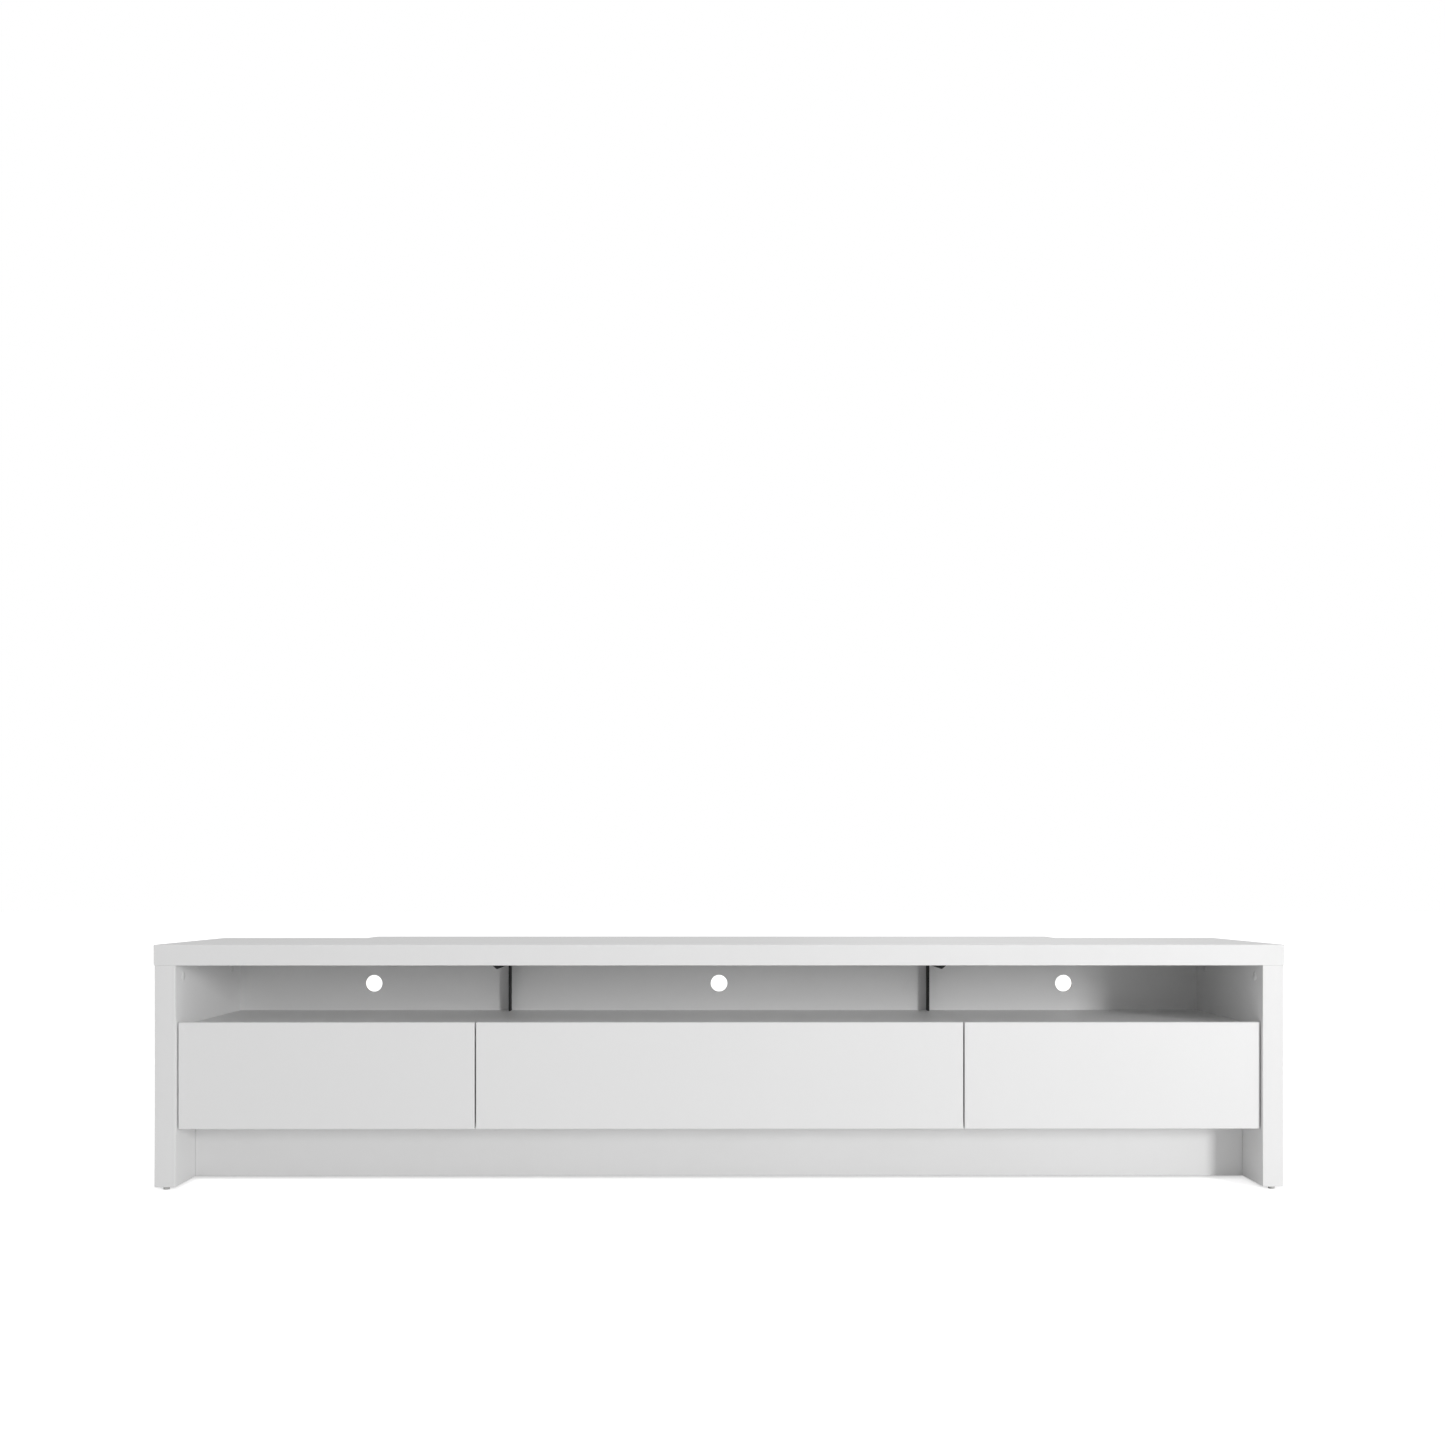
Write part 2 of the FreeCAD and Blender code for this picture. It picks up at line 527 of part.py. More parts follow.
def make_hinge(door, x):
    """Butt hinge: fixed leaf under the bottom panel, moving leaf on the door, pin between."""
    half = LEAF_WIDTH / 2
    third = LEAF_WIDTH / 3
    bore = rod(V(x - half - 1, hinge_y, hinge_z), X, PIN_R + PIN_PLAY, LEAF_WIDTH + 2)
    add("hinge_pins", rod(V(x - half, hinge_y, hinge_z), X, PIN_R, LEAF_WIDTH))
    under = (BOTTOM_UNDERSIDE - LEAF, BOTTOM_UNDERSIDE)
    clear_y = hinge_y + hinge_offset
    leaf_end = hinge_y + LEAF_HEIGHT
    fixed = [block((x - half, x + half), (clear_y, leaf_end), under)]
    for start in (x - half, x + half - third):
        fixed.append(knuckle(start, third))
        fixed.append(block((start, start + third), (hinge_y, clear_y), under))
    fixed_leaf = fixed[0].fuse(fixed[1:]).cut(bore).removeSplitter()
    add("hinge_fixed_leaves", fixed_leaf)
    against = (door_back, door_back + LEAF)
    clear_z = hinge_z + hinge_offset
    leaf_top = hinge_z + LEAF_HEIGHT
    start = x - half + third + KNUCKLE_GAP
    width = third - 2 * KNUCKLE_GAP
    moving = block((x - half, x + half), against, (clear_z, leaf_top))
    web = block((start, start + width), against, (hinge_z, clear_z))
    moving_leaf = moving.fuse([web, knuckle(start, width)]).cut(bore).removeSplitter()
    add(door + "_hinge_leaves", moving_leaf)
    for screw_x in (x - half + LEAF_SCREW_INSET, x + half - LEAF_SCREW_INSET):
        head = V(screw_x, leaf_end - LEAF_SCREW_INSET, BOTTOM_UNDERSIDE - LEAF)
        wood_screw("carcass_screws", ["hinge_fixed_leaves", "bottom_panel"], head, Z)
        head = V(screw_x, door_back + LEAF, leaf_top - LEAF_SCREW_INSET)
        wood_screw(door + "_screws", [door + "_hinge_leaves", door], head, -Y)


def make_catch(door, x):
    """Magnetic catch under the shelf and its strike plate on the door."""
    face = door_back + STRIKE + CATCH_GAP
    depth = (face, face + CATCH_DEPTH)
    lower = shelf_under - CATCH_HEIGHT
    body = block((x - CATCH_WIDTH / 2, x + CATCH_WIDTH / 2), depth, (lower, shelf_under))
    ear_x = CATCH_WIDTH / 2 + CATCH_EAR
    ear_y = (board_front + 1, board_front + 1 + CATCH_EAR)
    ears = block((x - ear_x, x + ear_x), ear_y, (shelf_under - CATCH_EAR_THICKNESS, shelf_under))
    add("catch_bodies", body.fuse(ears).removeSplitter())
    for sign in (-1, 1):
        head_x = x + sign * (CATCH_WIDTH / 2 + CATCH_EAR / 2)
        head = V(head_x, sum(ear_y) / 2, shelf_under - CATCH_EAR_THICKNESS)
        wood_screw("carcass_screws", ["catch_bodies", "shelf_panel"], head, Z)
    strike_x = (x - STRIKE_WIDTH / 2, x + STRIKE_WIDTH / 2)
    add(door + "_strikes", block(strike_x, (door_back, door_back + STRIKE), (lower, shelf_under)))
    head = V(x, door_back + STRIKE, (lower + shelf_under) / 2)
    wood_screw(door + "_screws", [door + "_strikes", door], head, -Y)


# ---- folding stays ------------------------------------------------------------------------------
def bar(start, end, near, sign):
    """Flat bar with round ends between two pivots, from its near face away from the wall."""
    along = (end - start).normalize()
    side = V(0, -along.z, along.y) * STAY_HALF_WIDTH
    tip = along * STAY_HALF_WIDTH
    edges = [Part.LineSegment(start + side, end + side).toShape(),
             Part.Arc(end + side, end + tip, end - side).toShape(),
             Part.LineSegment(end - side, start - side).toShape(),
             Part.Arc(start - side, start - tip, start + side).toShape()]
    face = Part.Face(Part.Wire(edges))
    face.translate(X * near)
    return face.extrude(X * sign * STAY_BAR)


def stud(pivot, wall, sign, steps):
    """Stepped round stud: (from, to, radius) distances from the wall."""
    parts = [rod(V(wall + sign * low, pivot.y, pivot.z), X * sign, radius, high - low)
             for low, high, radius in steps]
    return parts[0].fuse(parts[1:])


def make_stay(name, door, wall_node, wall, sign):
    """Wall plate, arm and link, and the ear on the door, for a stay beside a wall face."""
    root = V(0, hinge_y + STAY_ROOT_BACK, stay_root_z)
    ear = V(0, hinge_y + STAY_EAR[0], hinge_z + STAY_EAR[1])
    elbow = root + V(0, STAY_EAR[0], STAY_EAR[1])
    hole = STAY_BAR + 2
    head_gap = 0.2
    head = 0.8
    arm_far = ARM_PLANE + STAY_BAR
    link_far = LINK_PLANE + STAY_BAR

    plate_z = (root.z - STAY_HALF_WIDTH, root.z - STAY_HALF_WIDTH + STAY_PLATE_HEIGHT)
    plate_y = (root.y - STAY_PLATE_WIDTH / 2, root.y + STAY_PLATE_WIDTH / 2)
    plate = block((wall, wall + sign * STAY_PLATE), plate_y, plate_z)
    root_stud = stud(root, wall, sign, [
        (STAY_PLATE, ARM_PLANE - head_gap, STAY_HEAD_R), (STAY_PLATE, arm_far + head_gap, STAY_PIN_R),
        (arm_far + head_gap, arm_far + head_gap + head, STAY_HEAD_R)])
    add("stay_wall_plates", plate.fuse(root_stud).removeSplitter())
    for y in (plate_y[0] + 6, plate_y[1] - 6):
        screw_head = V(wall + sign * STAY_PLATE, y, plate_z[1] - 7)
        wood_screw("carcass_screws", ["stay_wall_plates", wall_node], screw_head, X * -sign)

    near = wall + sign * ARM_PLANE
    arm_hole = rod(V(near - sign, root.y, root.z), X * sign, STAY_HOLE_R, hole)
    elbow_stud = stud(elbow, wall, sign, [
        (arm_far, LINK_PLANE - head_gap, STAY_HEAD_R), (arm_far, link_far + head_gap, STAY_PIN_R),
        (link_far + head_gap, link_far + head_gap + head, STAY_HEAD_R)])
    add("stay_arm_" + name, bar(root, elbow, near, sign).cut(arm_hole).fuse(elbow_stud).removeSplitter())

    near = wall + sign * LINK_PLANE
    link_holes = [rod(V(near - sign, pivot.y, pivot.z), X * sign, STAY_HOLE_R, hole) for pivot in (elbow, ear)]
    add("stay_link_" + name, bar(elbow, ear, near, sign).cut(link_holes))

    ear_wall = wall + sign * EAR_PLANE
    foot_z = (ear.z - EAR_FOOT_HEIGHT / 2, ear.z + EAR_FOOT_HEIGHT / 2)
    foot = block((ear_wall, ear_wall + sign * EAR_FOOT_WIDTH), (door_back, door_back + STAY_PLATE), foot_z)
    tab = block((ear_wall, ear_wall + sign * STAY_BAR), (door_back, ear.y),
                (ear.z - STAY_HALF_WIDTH, ear.z + STAY_HALF_WIDTH))
    tab_end = rod(V(ear_wall, ear.y, ear.z), X * sign, STAY_HALF_WIDTH, STAY_BAR)
    ear_stud = stud(ear, wall, sign, [
        (LINK_PLANE - head_gap - head, LINK_PLANE - head_gap, STAY_HEAD_R - 0.8),
        (LINK_PLANE - head_gap, EAR_PLANE, STAY_OPEN_PIN_R),
        (link_far + head_gap, EAR_PLANE, STAY_HEAD_R)])
    add(door + "_stay_ears", foot.fuse([tab, tab_end, ear_stud]).removeSplitter())
    screw_x = ear_wall + sign * (EAR_FOOT_WIDTH + STAY_BAR) / 2
    for z in (foot_z[0] + 6, foot_z[1] - 6):
        wood_screw(door + "_screws", [door + "_stay_ears", door], V(screw_x, door_back + STAY_PLATE, z), -Y)


def make_stays():
    """One stay for each side door, two for the centre door."""
    divider_face = divider_x - BOARD / 2
    make_stay("left", "door_left", "side_panel_left", -side_inner, 1)
    make_stay("centre_left", "door_centre", "divider_left", -divider_face, 1)
    make_stay("centre_right", "door_centre", "divider_right", divider_face, -1)
    make_stay("right", "door_right", "side_panel_right", side_inner, -1)


# ---- the whole stand ----------------------------------------------------------------------------
def cut_holes(node, solid):
    """The solid with those of its node's holes that reach it."""
    tools = [tool for tool in holes.get(node, []) if tool.BoundBox.intersect(solid.BoundBox)]
    if not tools:
        return [solid]
    return solid.cut(tools).Solids


def main():
    """Make every node and write one STEP file for each."""
    make_boards()
    make_back()
    make_glides()
    join_top()
    join_long_boards()
    join_dividers_and_plinth()
    fix_back()
    make_supports()
    for name in door_ends:
        make_door(name)
    make_stays()
    os.makedirs("parts", exist_ok=True)
    for node, solids in pieces.items():
        finished = [part for solid in solids for part in cut_holes(node, solid)]
        assert len(finished) == len(solids), node + " fell into pieces"
        shape = finished[0] if len(finished) == 1 else Part.makeCompound(finished)
        assert shape.isValid(), node
        shape.exportStep("parts/" + node + ".step")
    print(len(pieces), "nodes,", sum(len(solids) for solids in pieces.values()), "solids")


main()
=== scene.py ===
"""Looks of a low TV stand with drop-down doors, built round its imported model.

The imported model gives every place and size. White boards are rebuilt as banded boards with fine
seams, the glides are turned, and pressed and moulded fittings get broken edges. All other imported
nodes keep their shape and get a finish. Lengths are in metres, +Z up, and the front faces -Y.
"""

import json
import logging
import math
from dataclasses import dataclass
from enum import Enum

import bmesh
import bpy
import numpy as np
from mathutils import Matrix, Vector

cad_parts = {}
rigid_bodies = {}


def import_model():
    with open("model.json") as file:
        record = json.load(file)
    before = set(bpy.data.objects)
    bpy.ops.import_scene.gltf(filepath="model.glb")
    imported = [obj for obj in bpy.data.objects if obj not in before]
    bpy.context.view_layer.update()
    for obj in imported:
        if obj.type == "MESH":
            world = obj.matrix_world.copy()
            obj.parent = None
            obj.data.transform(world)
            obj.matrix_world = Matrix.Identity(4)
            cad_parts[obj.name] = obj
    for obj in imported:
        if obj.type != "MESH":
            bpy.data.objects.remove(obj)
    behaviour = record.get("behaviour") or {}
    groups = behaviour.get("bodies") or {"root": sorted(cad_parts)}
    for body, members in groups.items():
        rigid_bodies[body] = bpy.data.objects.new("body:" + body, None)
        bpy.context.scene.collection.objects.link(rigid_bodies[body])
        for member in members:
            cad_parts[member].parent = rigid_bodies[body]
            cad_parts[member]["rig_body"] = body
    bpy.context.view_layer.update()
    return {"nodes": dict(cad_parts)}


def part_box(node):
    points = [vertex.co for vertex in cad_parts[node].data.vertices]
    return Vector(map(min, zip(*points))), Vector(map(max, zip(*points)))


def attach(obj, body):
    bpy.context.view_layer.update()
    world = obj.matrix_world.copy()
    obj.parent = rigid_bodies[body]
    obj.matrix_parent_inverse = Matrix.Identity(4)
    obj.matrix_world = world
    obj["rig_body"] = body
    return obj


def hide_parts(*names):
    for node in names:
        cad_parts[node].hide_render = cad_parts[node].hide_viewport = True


LOG = logging.getLogger("tv_stand")
MM = 0.001
SHARP = math.radians(40.0)      # an edge with a larger turn stays sharp
FLAT = math.radians(1.0)        # triangles with a smaller turn lie in one face
TOUCHING = 1e-7                 # points of a new surface this near are one
PACKED_TOUCHING = 1e-6          # the same for packed triangles

Colour = tuple[float, float, float]
Point = tuple[float, float, float]
Links = dict[str, object]


class Axis(Enum):
    """A direction, by its place in a point's coordinates."""

    X = 0
    Y = 1
    Z = 2


class Gloss(Enum):
    """How shiny a finish is, as the roughness of its surface."""

    SATIN = 0.40
    SILK = 0.52
    MATT = 0.68
    RAW = 0.88


# ---- node building ----
@dataclass
class NodeGraph:
    """Adds and joins the nodes of one material or node group.

    Attributes:
        tree: the node tree that the nodes go into.
    """

    tree: bpy.types.NodeTree

    def add(self, kind: str, inputs: Links | None = None, **options: object) -> bpy.types.Node:
        """Add one shader node.

        Args:
            kind: the node type without its ShaderNode prefix.
            inputs: values or output sockets for the node's inputs, by name or by number.
            options: the node's own settings.

        Returns:
            The new node.
        """
        node = self.tree.nodes.new("ShaderNode" + kind)
        for name, value in options.items():
            setattr(node, name, value)
        for key, value in (inputs or {}).items():
            socket = node.inputs[key]
            if isinstance(value, bpy.types.NodeSocket):
                self.tree.links.new(value, socket)
            else:
                socket.default_value = value
        return node

    def maths(self, operation: str, first: object, second: object = 0.0, third: object = 0.0) -> object:
        """Add a Math node and return its output socket."""
        values = {0: first, 1: second, 2: third}
        return self.add("Math", values, operation=operation).outputs[0]

    def ramp(self, value: object, low: float, high: float, start: float = 0.0, end: float = 1.0) -> object:
        """Map a value between two limits to another range, clamped, and return the socket."""
        values = {"Value": value, "From Min": low, "From Max": high, "To Min": start, "To Max": end}
        return self.add("MapRange", values, clamp=True).outputs["Result"]

    def noise(self, place: object, scale: object, detail: float, **more: float) -> object:
        """Add a noise texture.

        Args:
            place: socket of the place.
            scale: how many waves there are in a metre.
            detail: how many finer noises are added to it.
            more: its other inputs.

        Returns:
            The socket of its value.
        """
        return self.add("TexNoise", {"Vector": place, "Scale": scale, "Detail": detail, **more}).outputs[0]

    def blend(self, amount: object, first: object, second: object) -> object:
        """Mix two colours.

        Args:
            amount: share of the second colour, a value or a socket.
            first: the first colour, or its socket.
            second: the second colour, or its socket.

        Returns:
            The mixed colour's socket.
        """
        node = self.add("Mix", {"Factor": amount}, data_type="RGBA")
        for name, value in (("A", first), ("B", second)):
            socket = next(s for s in node.inputs if s.name == name and s.type == "RGBA")
            if isinstance(value, bpy.types.NodeSocket):
                self.tree.links.new(value, socket)
            else:
                socket.default_value = (*value, 1.0)
        return next(s for s in node.outputs if s.type == "RGBA")

    def group(self, name: str, place: object, **inputs: object) -> bpy.types.Node:
        """Add a shared effect, with the socket of the place and what its other inputs get."""
        return self.add("Group", {"Vector": place, **inputs}, node_tree=bpy.data.node_groups[name])


class Effects:
    """The shader effects that several finishes share, each one a node group."""

    def start(self, name: str, inputs: dict[str, str],
              outputs: list[str]) -> tuple[NodeGraph, bpy.types.bpy_prop_collection]:
        """Begin a node group.

        Args:
            name: the group's name.
            inputs: socket kind, Vector or Float, by input name.
            outputs: names of the Float outputs.

        Returns:
            The group's graph and the sockets of its inputs.
        """
        tree = bpy.data.node_groups.new(name, "ShaderNodeTree")
        for label, kind in inputs.items():
            tree.interface.new_socket(label, in_out="INPUT", socket_type="NodeSocket" + kind)
        for label in outputs:
            tree.interface.new_socket(label, in_out="OUTPUT", socket_type="NodeSocketFloat")
        return NodeGraph(tree), tree.nodes.new("NodeGroupInput").outputs

    def finish(self, graph: NodeGraph, results: Links) -> None:
        """Join the results to the group's outputs.

        Args:
            graph: the group's graph.
            results: the socket for each output, by the output's name.
        """
        end = graph.tree.nodes.new("NodeGroupOutput")
        for label, socket in results.items():
            graph.tree.links.new(socket, end.inputs[label])

    def make_peel(self) -> None:
        """Fine pebbled surface: two noises of different size, added."""
        graph, given = self.start("peel", {"Vector": "Vector", "Scale": "Float"}, ["Height", "Patch"])
        fine = graph.noise(given["Vector"], given["Scale"], 2.0)
        wide_scale = graph.maths("MULTIPLY", given["Scale"], 0.21)
        wide = graph.noise(given["Vector"], wide_scale, 1.0)
        height = graph.maths("MULTIPLY_ADD", wide, 0.6, fine)
        self.finish(graph, {"Height": height, "Patch": wide})

    def make_smudge(self) -> None:
        """Broad soft patches, as hands and cloths leave on a smooth face."""
        graph, given = self.start("smudge", {"Vector": "Vector", "Scale": "Float"}, ["Amount"])
        cloud = graph.noise(given["Vector"], given["Scale"], 4.0, Roughness=0.6, Distortion=0.8)
        self.finish(graph, {"Amount": graph.ramp(cloud, 0.35, 0.7)})

    def make_edge_wear(self) -> None:
        """Mask near a box's edges: the middle one of the three distances inside its faces is small."""
        kinds = {"Vector": "Vector", "Centre": "Vector", "Half": "Vector", "Width": "Float"}
        graph, given = self.start("edge_wear", kinds, ["Mask"])
        offset = graph.add("VectorMath", {0: given["Vector"], 1: given["Centre"]},
                           operation="SUBTRACT")
        away = graph.add("VectorMath", {0: offset.outputs[0]}, operation="ABSOLUTE")
        depth = graph.add("VectorMath", {0: given["Half"], 1: away.outputs[0]},
                          operation="SUBTRACT")
        parts = graph.add("SeparateXYZ", {0: depth.outputs[0]}).outputs
        low = graph.maths("MINIMUM", parts[0], parts[1])
        high = graph.maths("MAXIMUM", parts[0], parts[1])
        middle = graph.maths("MAXIMUM", low, graph.maths("MINIMUM", high, parts[2]))
        ratio = graph.maths("DIVIDE", middle, given["Width"])
        rough = graph.ramp(graph.noise(given["Vector"], 90.0, 5.0), 0.42, 0.66)
        mask = graph.maths("MULTIPLY", graph.ramp(ratio, 0.0, 1.0, 1.0, 0.0), rough)
        self.finish(graph, {"Mask": mask})

    def make_dust(self) -> None:
        """Thin dust that lies on faces that look up, in specks and drifts."""
        graph, given = self.start("dust", {"Vector": "Vector", "Amount": "Float"}, ["Mask"])
        normal = graph.add("TexCoord").outputs["Normal"]
        up = graph.ramp(graph.add("SeparateXYZ", {0: normal}).outputs[2], 0.6, 1.0)
        speck = graph.ramp(graph.noise(given["Vector"], 420.0, 2.0), 0.5, 0.8)
        drift = graph.ramp(graph.noise(given["Vector"], 7.0, 3.0), 0.3, 0.8)
        lying = graph.maths("MULTIPLY", up, graph.maths("MULTIPLY_ADD", speck, 0.6, drift))
        self.finish(graph, {"Mask": graph.maths("MULTIPLY", lying, given["Amount"])})

    def make_grain(self) -> None:
        """Long fibres: noise squeezed along one direction, and slow rings across it."""
        kinds = {"Vector": "Vector", "Stretch": "Vector", "Scale": "Float"}
        graph, given = self.start("grain", kinds, ["Fibre", "Ring"])
        drawn = graph.add("VectorMath", {0: given["Vector"], 1: given["Stretch"]},
                          operation="MULTIPLY").outputs[0]
        fibre = graph.noise(drawn, given["Scale"], 6.0, Roughness=0.65)
        ring_scale = graph.maths("MULTIPLY", given["Scale"], 0.12)
        ring_in = {"Vector": drawn, "Scale": ring_scale, "Distortion": 3.0, "Detail": 2.0}
        ring = graph.add("TexWave", ring_in, wave_type="BANDS", bands_direction="DIAGONAL")
        self.finish(graph, {"Fibre": fibre, "Ring": ring.outputs["Fac"]})

    def make_all(self) -> None:
        """Make every shared effect once."""
        self.make_peel()
        self.make_smudge()
        self.make_edge_wear()
        self.make_dust()
        self.make_grain()


# ---- finishes ----
@dataclass(frozen=True)
class Finish:
    """What every finish has.

    Attributes:
        name: the material's name.
        colour: base colour, linear.
        gloss: how shiny it is.
    """

    name: str
    colour: Colour
    gloss: Gloss

    def begin(self) -> tuple[bpy.types.Material, NodeGraph, bpy.types.Node, object]:
        """Make an empty material with its shader.

        Returns:
            The material, its graph, the Principled shader and the Object coordinate socket.
        """
        material = bpy.data.materials.new(self.name)
        material.use_nodes = True
        material.node_tree.nodes.clear()
        graph = NodeGraph(material.node_tree)
        plain = {"Base Color": (*self.colour, 1.0), "Roughness": self.gloss.value}
        shader = graph.add("BsdfPrincipled", plain)
        output = graph.add("OutputMaterial")
        graph.tree.links.new(shader.outputs[0], output.inputs["Surface"])
        material.diffuse_color = (*self.colour, 1.0)
        return material, graph, shader, graph.add("TexCoord").outputs["Object"]

    def bump(self, graph: NodeGraph, shader: bpy.types.Node, height: object, depth: float) -> None:
        """Raise the surface by a height socket times a depth in metres."""
        bump = graph.add("Bump", {"Height": height, "Strength": 1.0, "Distance": depth})
        graph.tree.links.new(bump.outputs[0], shader.inputs["Normal"])

    def cover(self, graph: NodeGraph, shader: bpy.types.Node, colour: object, rough: object) -> None:
        """Join a colour socket and a roughness socket to the shader."""
        graph.tree.links.new(colour, shader.inputs["Base Color"])
        graph.tree.links.new(rough, shader.inputs["Roughness"])

    def shade(self, tone: float) -> Colour:
        """The finish's colour made lighter or darker by a factor."""
        return tuple(channel * tone for channel in self.colour)


@dataclass(frozen=True)
class Melamine(Finish):
    """Satin white laminate on a board, with a fine pebble, soft marks, worn edges and a little dust.

    Attributes:
        pebble: size of the pebble's bumps.
        pebble_depth: their height.
        edge_width: how far the wear reaches from an edge.
        marks: how many soft marks there are in a metre.
        mark_tone: how dark a full mark is.
        wear_tone: how dark a worn edge is.
        dust: how much dust lies on top.
        dust_colour: its colour.
    """

    pebble: float = 0.7 * MM
    pebble_depth: float = 0.006 * MM
    edge_width: float = 1.6 * MM
    marks: float = 3.2
    mark_tone: float = 0.985
    wear_tone: float = 0.9
    dust: float = 0.05
    dust_colour: Colour = (0.62, 0.60, 0.57)

    def material(self, low: np.ndarray, high: np.ndarray) -> bpy.types.Material:
        """Material for one board.

        Args:
            low: the board's lowest corner.
            high: the board's highest corner.

        Returns:
            The material.
        """
        material, graph, shader, place = self.begin()
        peel = graph.group("peel", place, Scale=1.0 / self.pebble)
        smudge = graph.group("smudge", place, Scale=self.marks).outputs[0]
        wear = graph.group("edge_wear", place, Centre=tuple((low + high) / 2), Half=tuple((high - low) / 2),
                           Width=self.edge_width).outputs[0]
        dust = graph.group("dust", place, Amount=self.dust).outputs[0]
        toned = graph.blend(graph.maths("MULTIPLY", smudge, 0.35), self.colour, self.shade(self.mark_tone))
        worn = graph.blend(graph.maths("MULTIPLY", wear, 0.25), toned, self.shade(self.wear_tone))
        dusty = graph.blend(dust, worn, self.dust_colour)
        rough = graph.maths("MULTIPLY_ADD", smudge, 0.05, self.gloss.value)
        rough = graph.maths("MULTIPLY_ADD", dust, 1.5, rough)
        self.cover(graph, shader, dusty, graph.maths("MULTIPLY_ADD", wear, 0.06, rough))
        self.bump(graph, shader, peel.outputs["Height"], self.pebble_depth)
        return material


@dataclass(frozen=True)
class Moulded(Finish):
    """Moulded plastic: a spark-eroded texture and faint flow marks.

    Attributes:
        grain_size: size of the mould texture.
        depth: its height.
        flow_marks: how many flow marks there are in a metre.
        flow_tone: how dark a flow mark is.
    """

    grain_size: float = 0.35 * MM
    depth: float = 0.008 * MM
    flow_marks: float = 60.0
    flow_tone: float = 0.96

    def material(self) -> bpy.types.Material:
        """Make the material for plastic pieces.

        Returns:
            The material.
        """
        material, graph, shader, place = self.begin()
        peel = graph.group("peel", place, Scale=1.0 / self.grain_size)
        flow = graph.group("smudge", place, Scale=self.flow_marks).outputs[0]
        toned = graph.blend(flow, self.colour, self.shade(self.flow_tone))
        rough = graph.maths("MULTIPLY_ADD", peel.outputs["Patch"], 0.16, self.gloss.value - 0.08)
        self.cover(graph, shader, toned, rough)
        self.bump(graph, shader, peel.outputs["Height"], self.depth)
        return material


@dataclass(frozen=True)
class PowderCoat(Finish):
    """Black powder coat on steel: an orange-peel skin, rubbed lighter here and there, with dust.

    Attributes:
        peel_size: size of the orange peel.
        depth: its height.
        rub_marks: how many rubbed places there are in a metre.
        rub_tone: how light a rubbed place is.
        dust: how much dust lies on top.
        dust_colour: its colour.
    """

    peel_size: float = 1.1 * MM
    depth: float = 0.05 * MM
    rub_marks: float = 24.0
    rub_tone: float = 1.8
    dust: float = 0.08
    dust_colour: Colour = (0.35, 0.34, 0.33)

    def material(self) -> bpy.types.Material:
        """Make the material for coated steel.

        Returns:
            The material.
        """
        material, graph, shader, place = self.begin()
        peel = graph.group("peel", place, Scale=1.0 / self.peel_size)
        rub = graph.group("smudge", place, Scale=self.rub_marks).outputs[0]
        dust = graph.group("dust", place, Amount=self.dust).outputs[0]
        rubbed = graph.blend(graph.maths("MULTIPLY", rub, 0.5), self.colour, self.shade(self.rub_tone))
        dusty = graph.blend(dust, rubbed, self.dust_colour)
        self.cover(graph, shader, dusty, graph.maths("MULTIPLY_ADD", rub, 0.12, self.gloss.value))
        self.bump(graph, shader, peel.outputs["Height"], self.depth)
        return material


@dataclass(frozen=True)
class Plated(Finish):
    """Plated steel or zinc: drawn streaks along one axis, cloudy plating and dull patches.

    Attributes:
        stretch: squeeze of the streaks along each axis; a small value draws them out.
        streak: how much rougher a streak is.
        streaks: how many streaks there are in a metre.
        depth: their height.
        clouds: how many cloudy patches there are in a metre.
        dark: tone of the dark streaks.
        bright: tone of the bright streaks.
        dull: tone of the cloudy patches.
    """

    stretch: Point = (0.05, 1.0, 1.0)
    streak: float = 0.12
    streaks: float = 2600.0
    depth: float = 0.004 * MM
    clouds: float = 140.0
    dark: float = 0.86
    bright: float = 1.08
    dull: float = 0.72

    def material(self) -> bpy.types.Material:
        """Make the material for plated metal.

        Returns:
            The material.
        """
        material, graph, shader, place = self.begin()
        shader.inputs["Metallic"].default_value = 1.0
        grain = graph.group("grain", place, Stretch=self.stretch, Scale=self.streaks)
        cloud = graph.group("smudge", place, Scale=self.clouds).outputs[0]
        drawn = graph.blend(grain.outputs["Fibre"], self.shade(self.dark), self.shade(self.bright))
        clouded = graph.blend(graph.maths("MULTIPLY", cloud, 0.4), drawn, self.shade(self.dull))
        rough = graph.maths("MULTIPLY_ADD", grain.outputs["Fibre"], self.streak, self.gloss.value - 0.14)
        self.cover(graph, shader, clouded, graph.maths("MULTIPLY_ADD", cloud, 0.12, rough))
        self.bump(graph, shader, grain.outputs["Fibre"], self.depth)
        return material


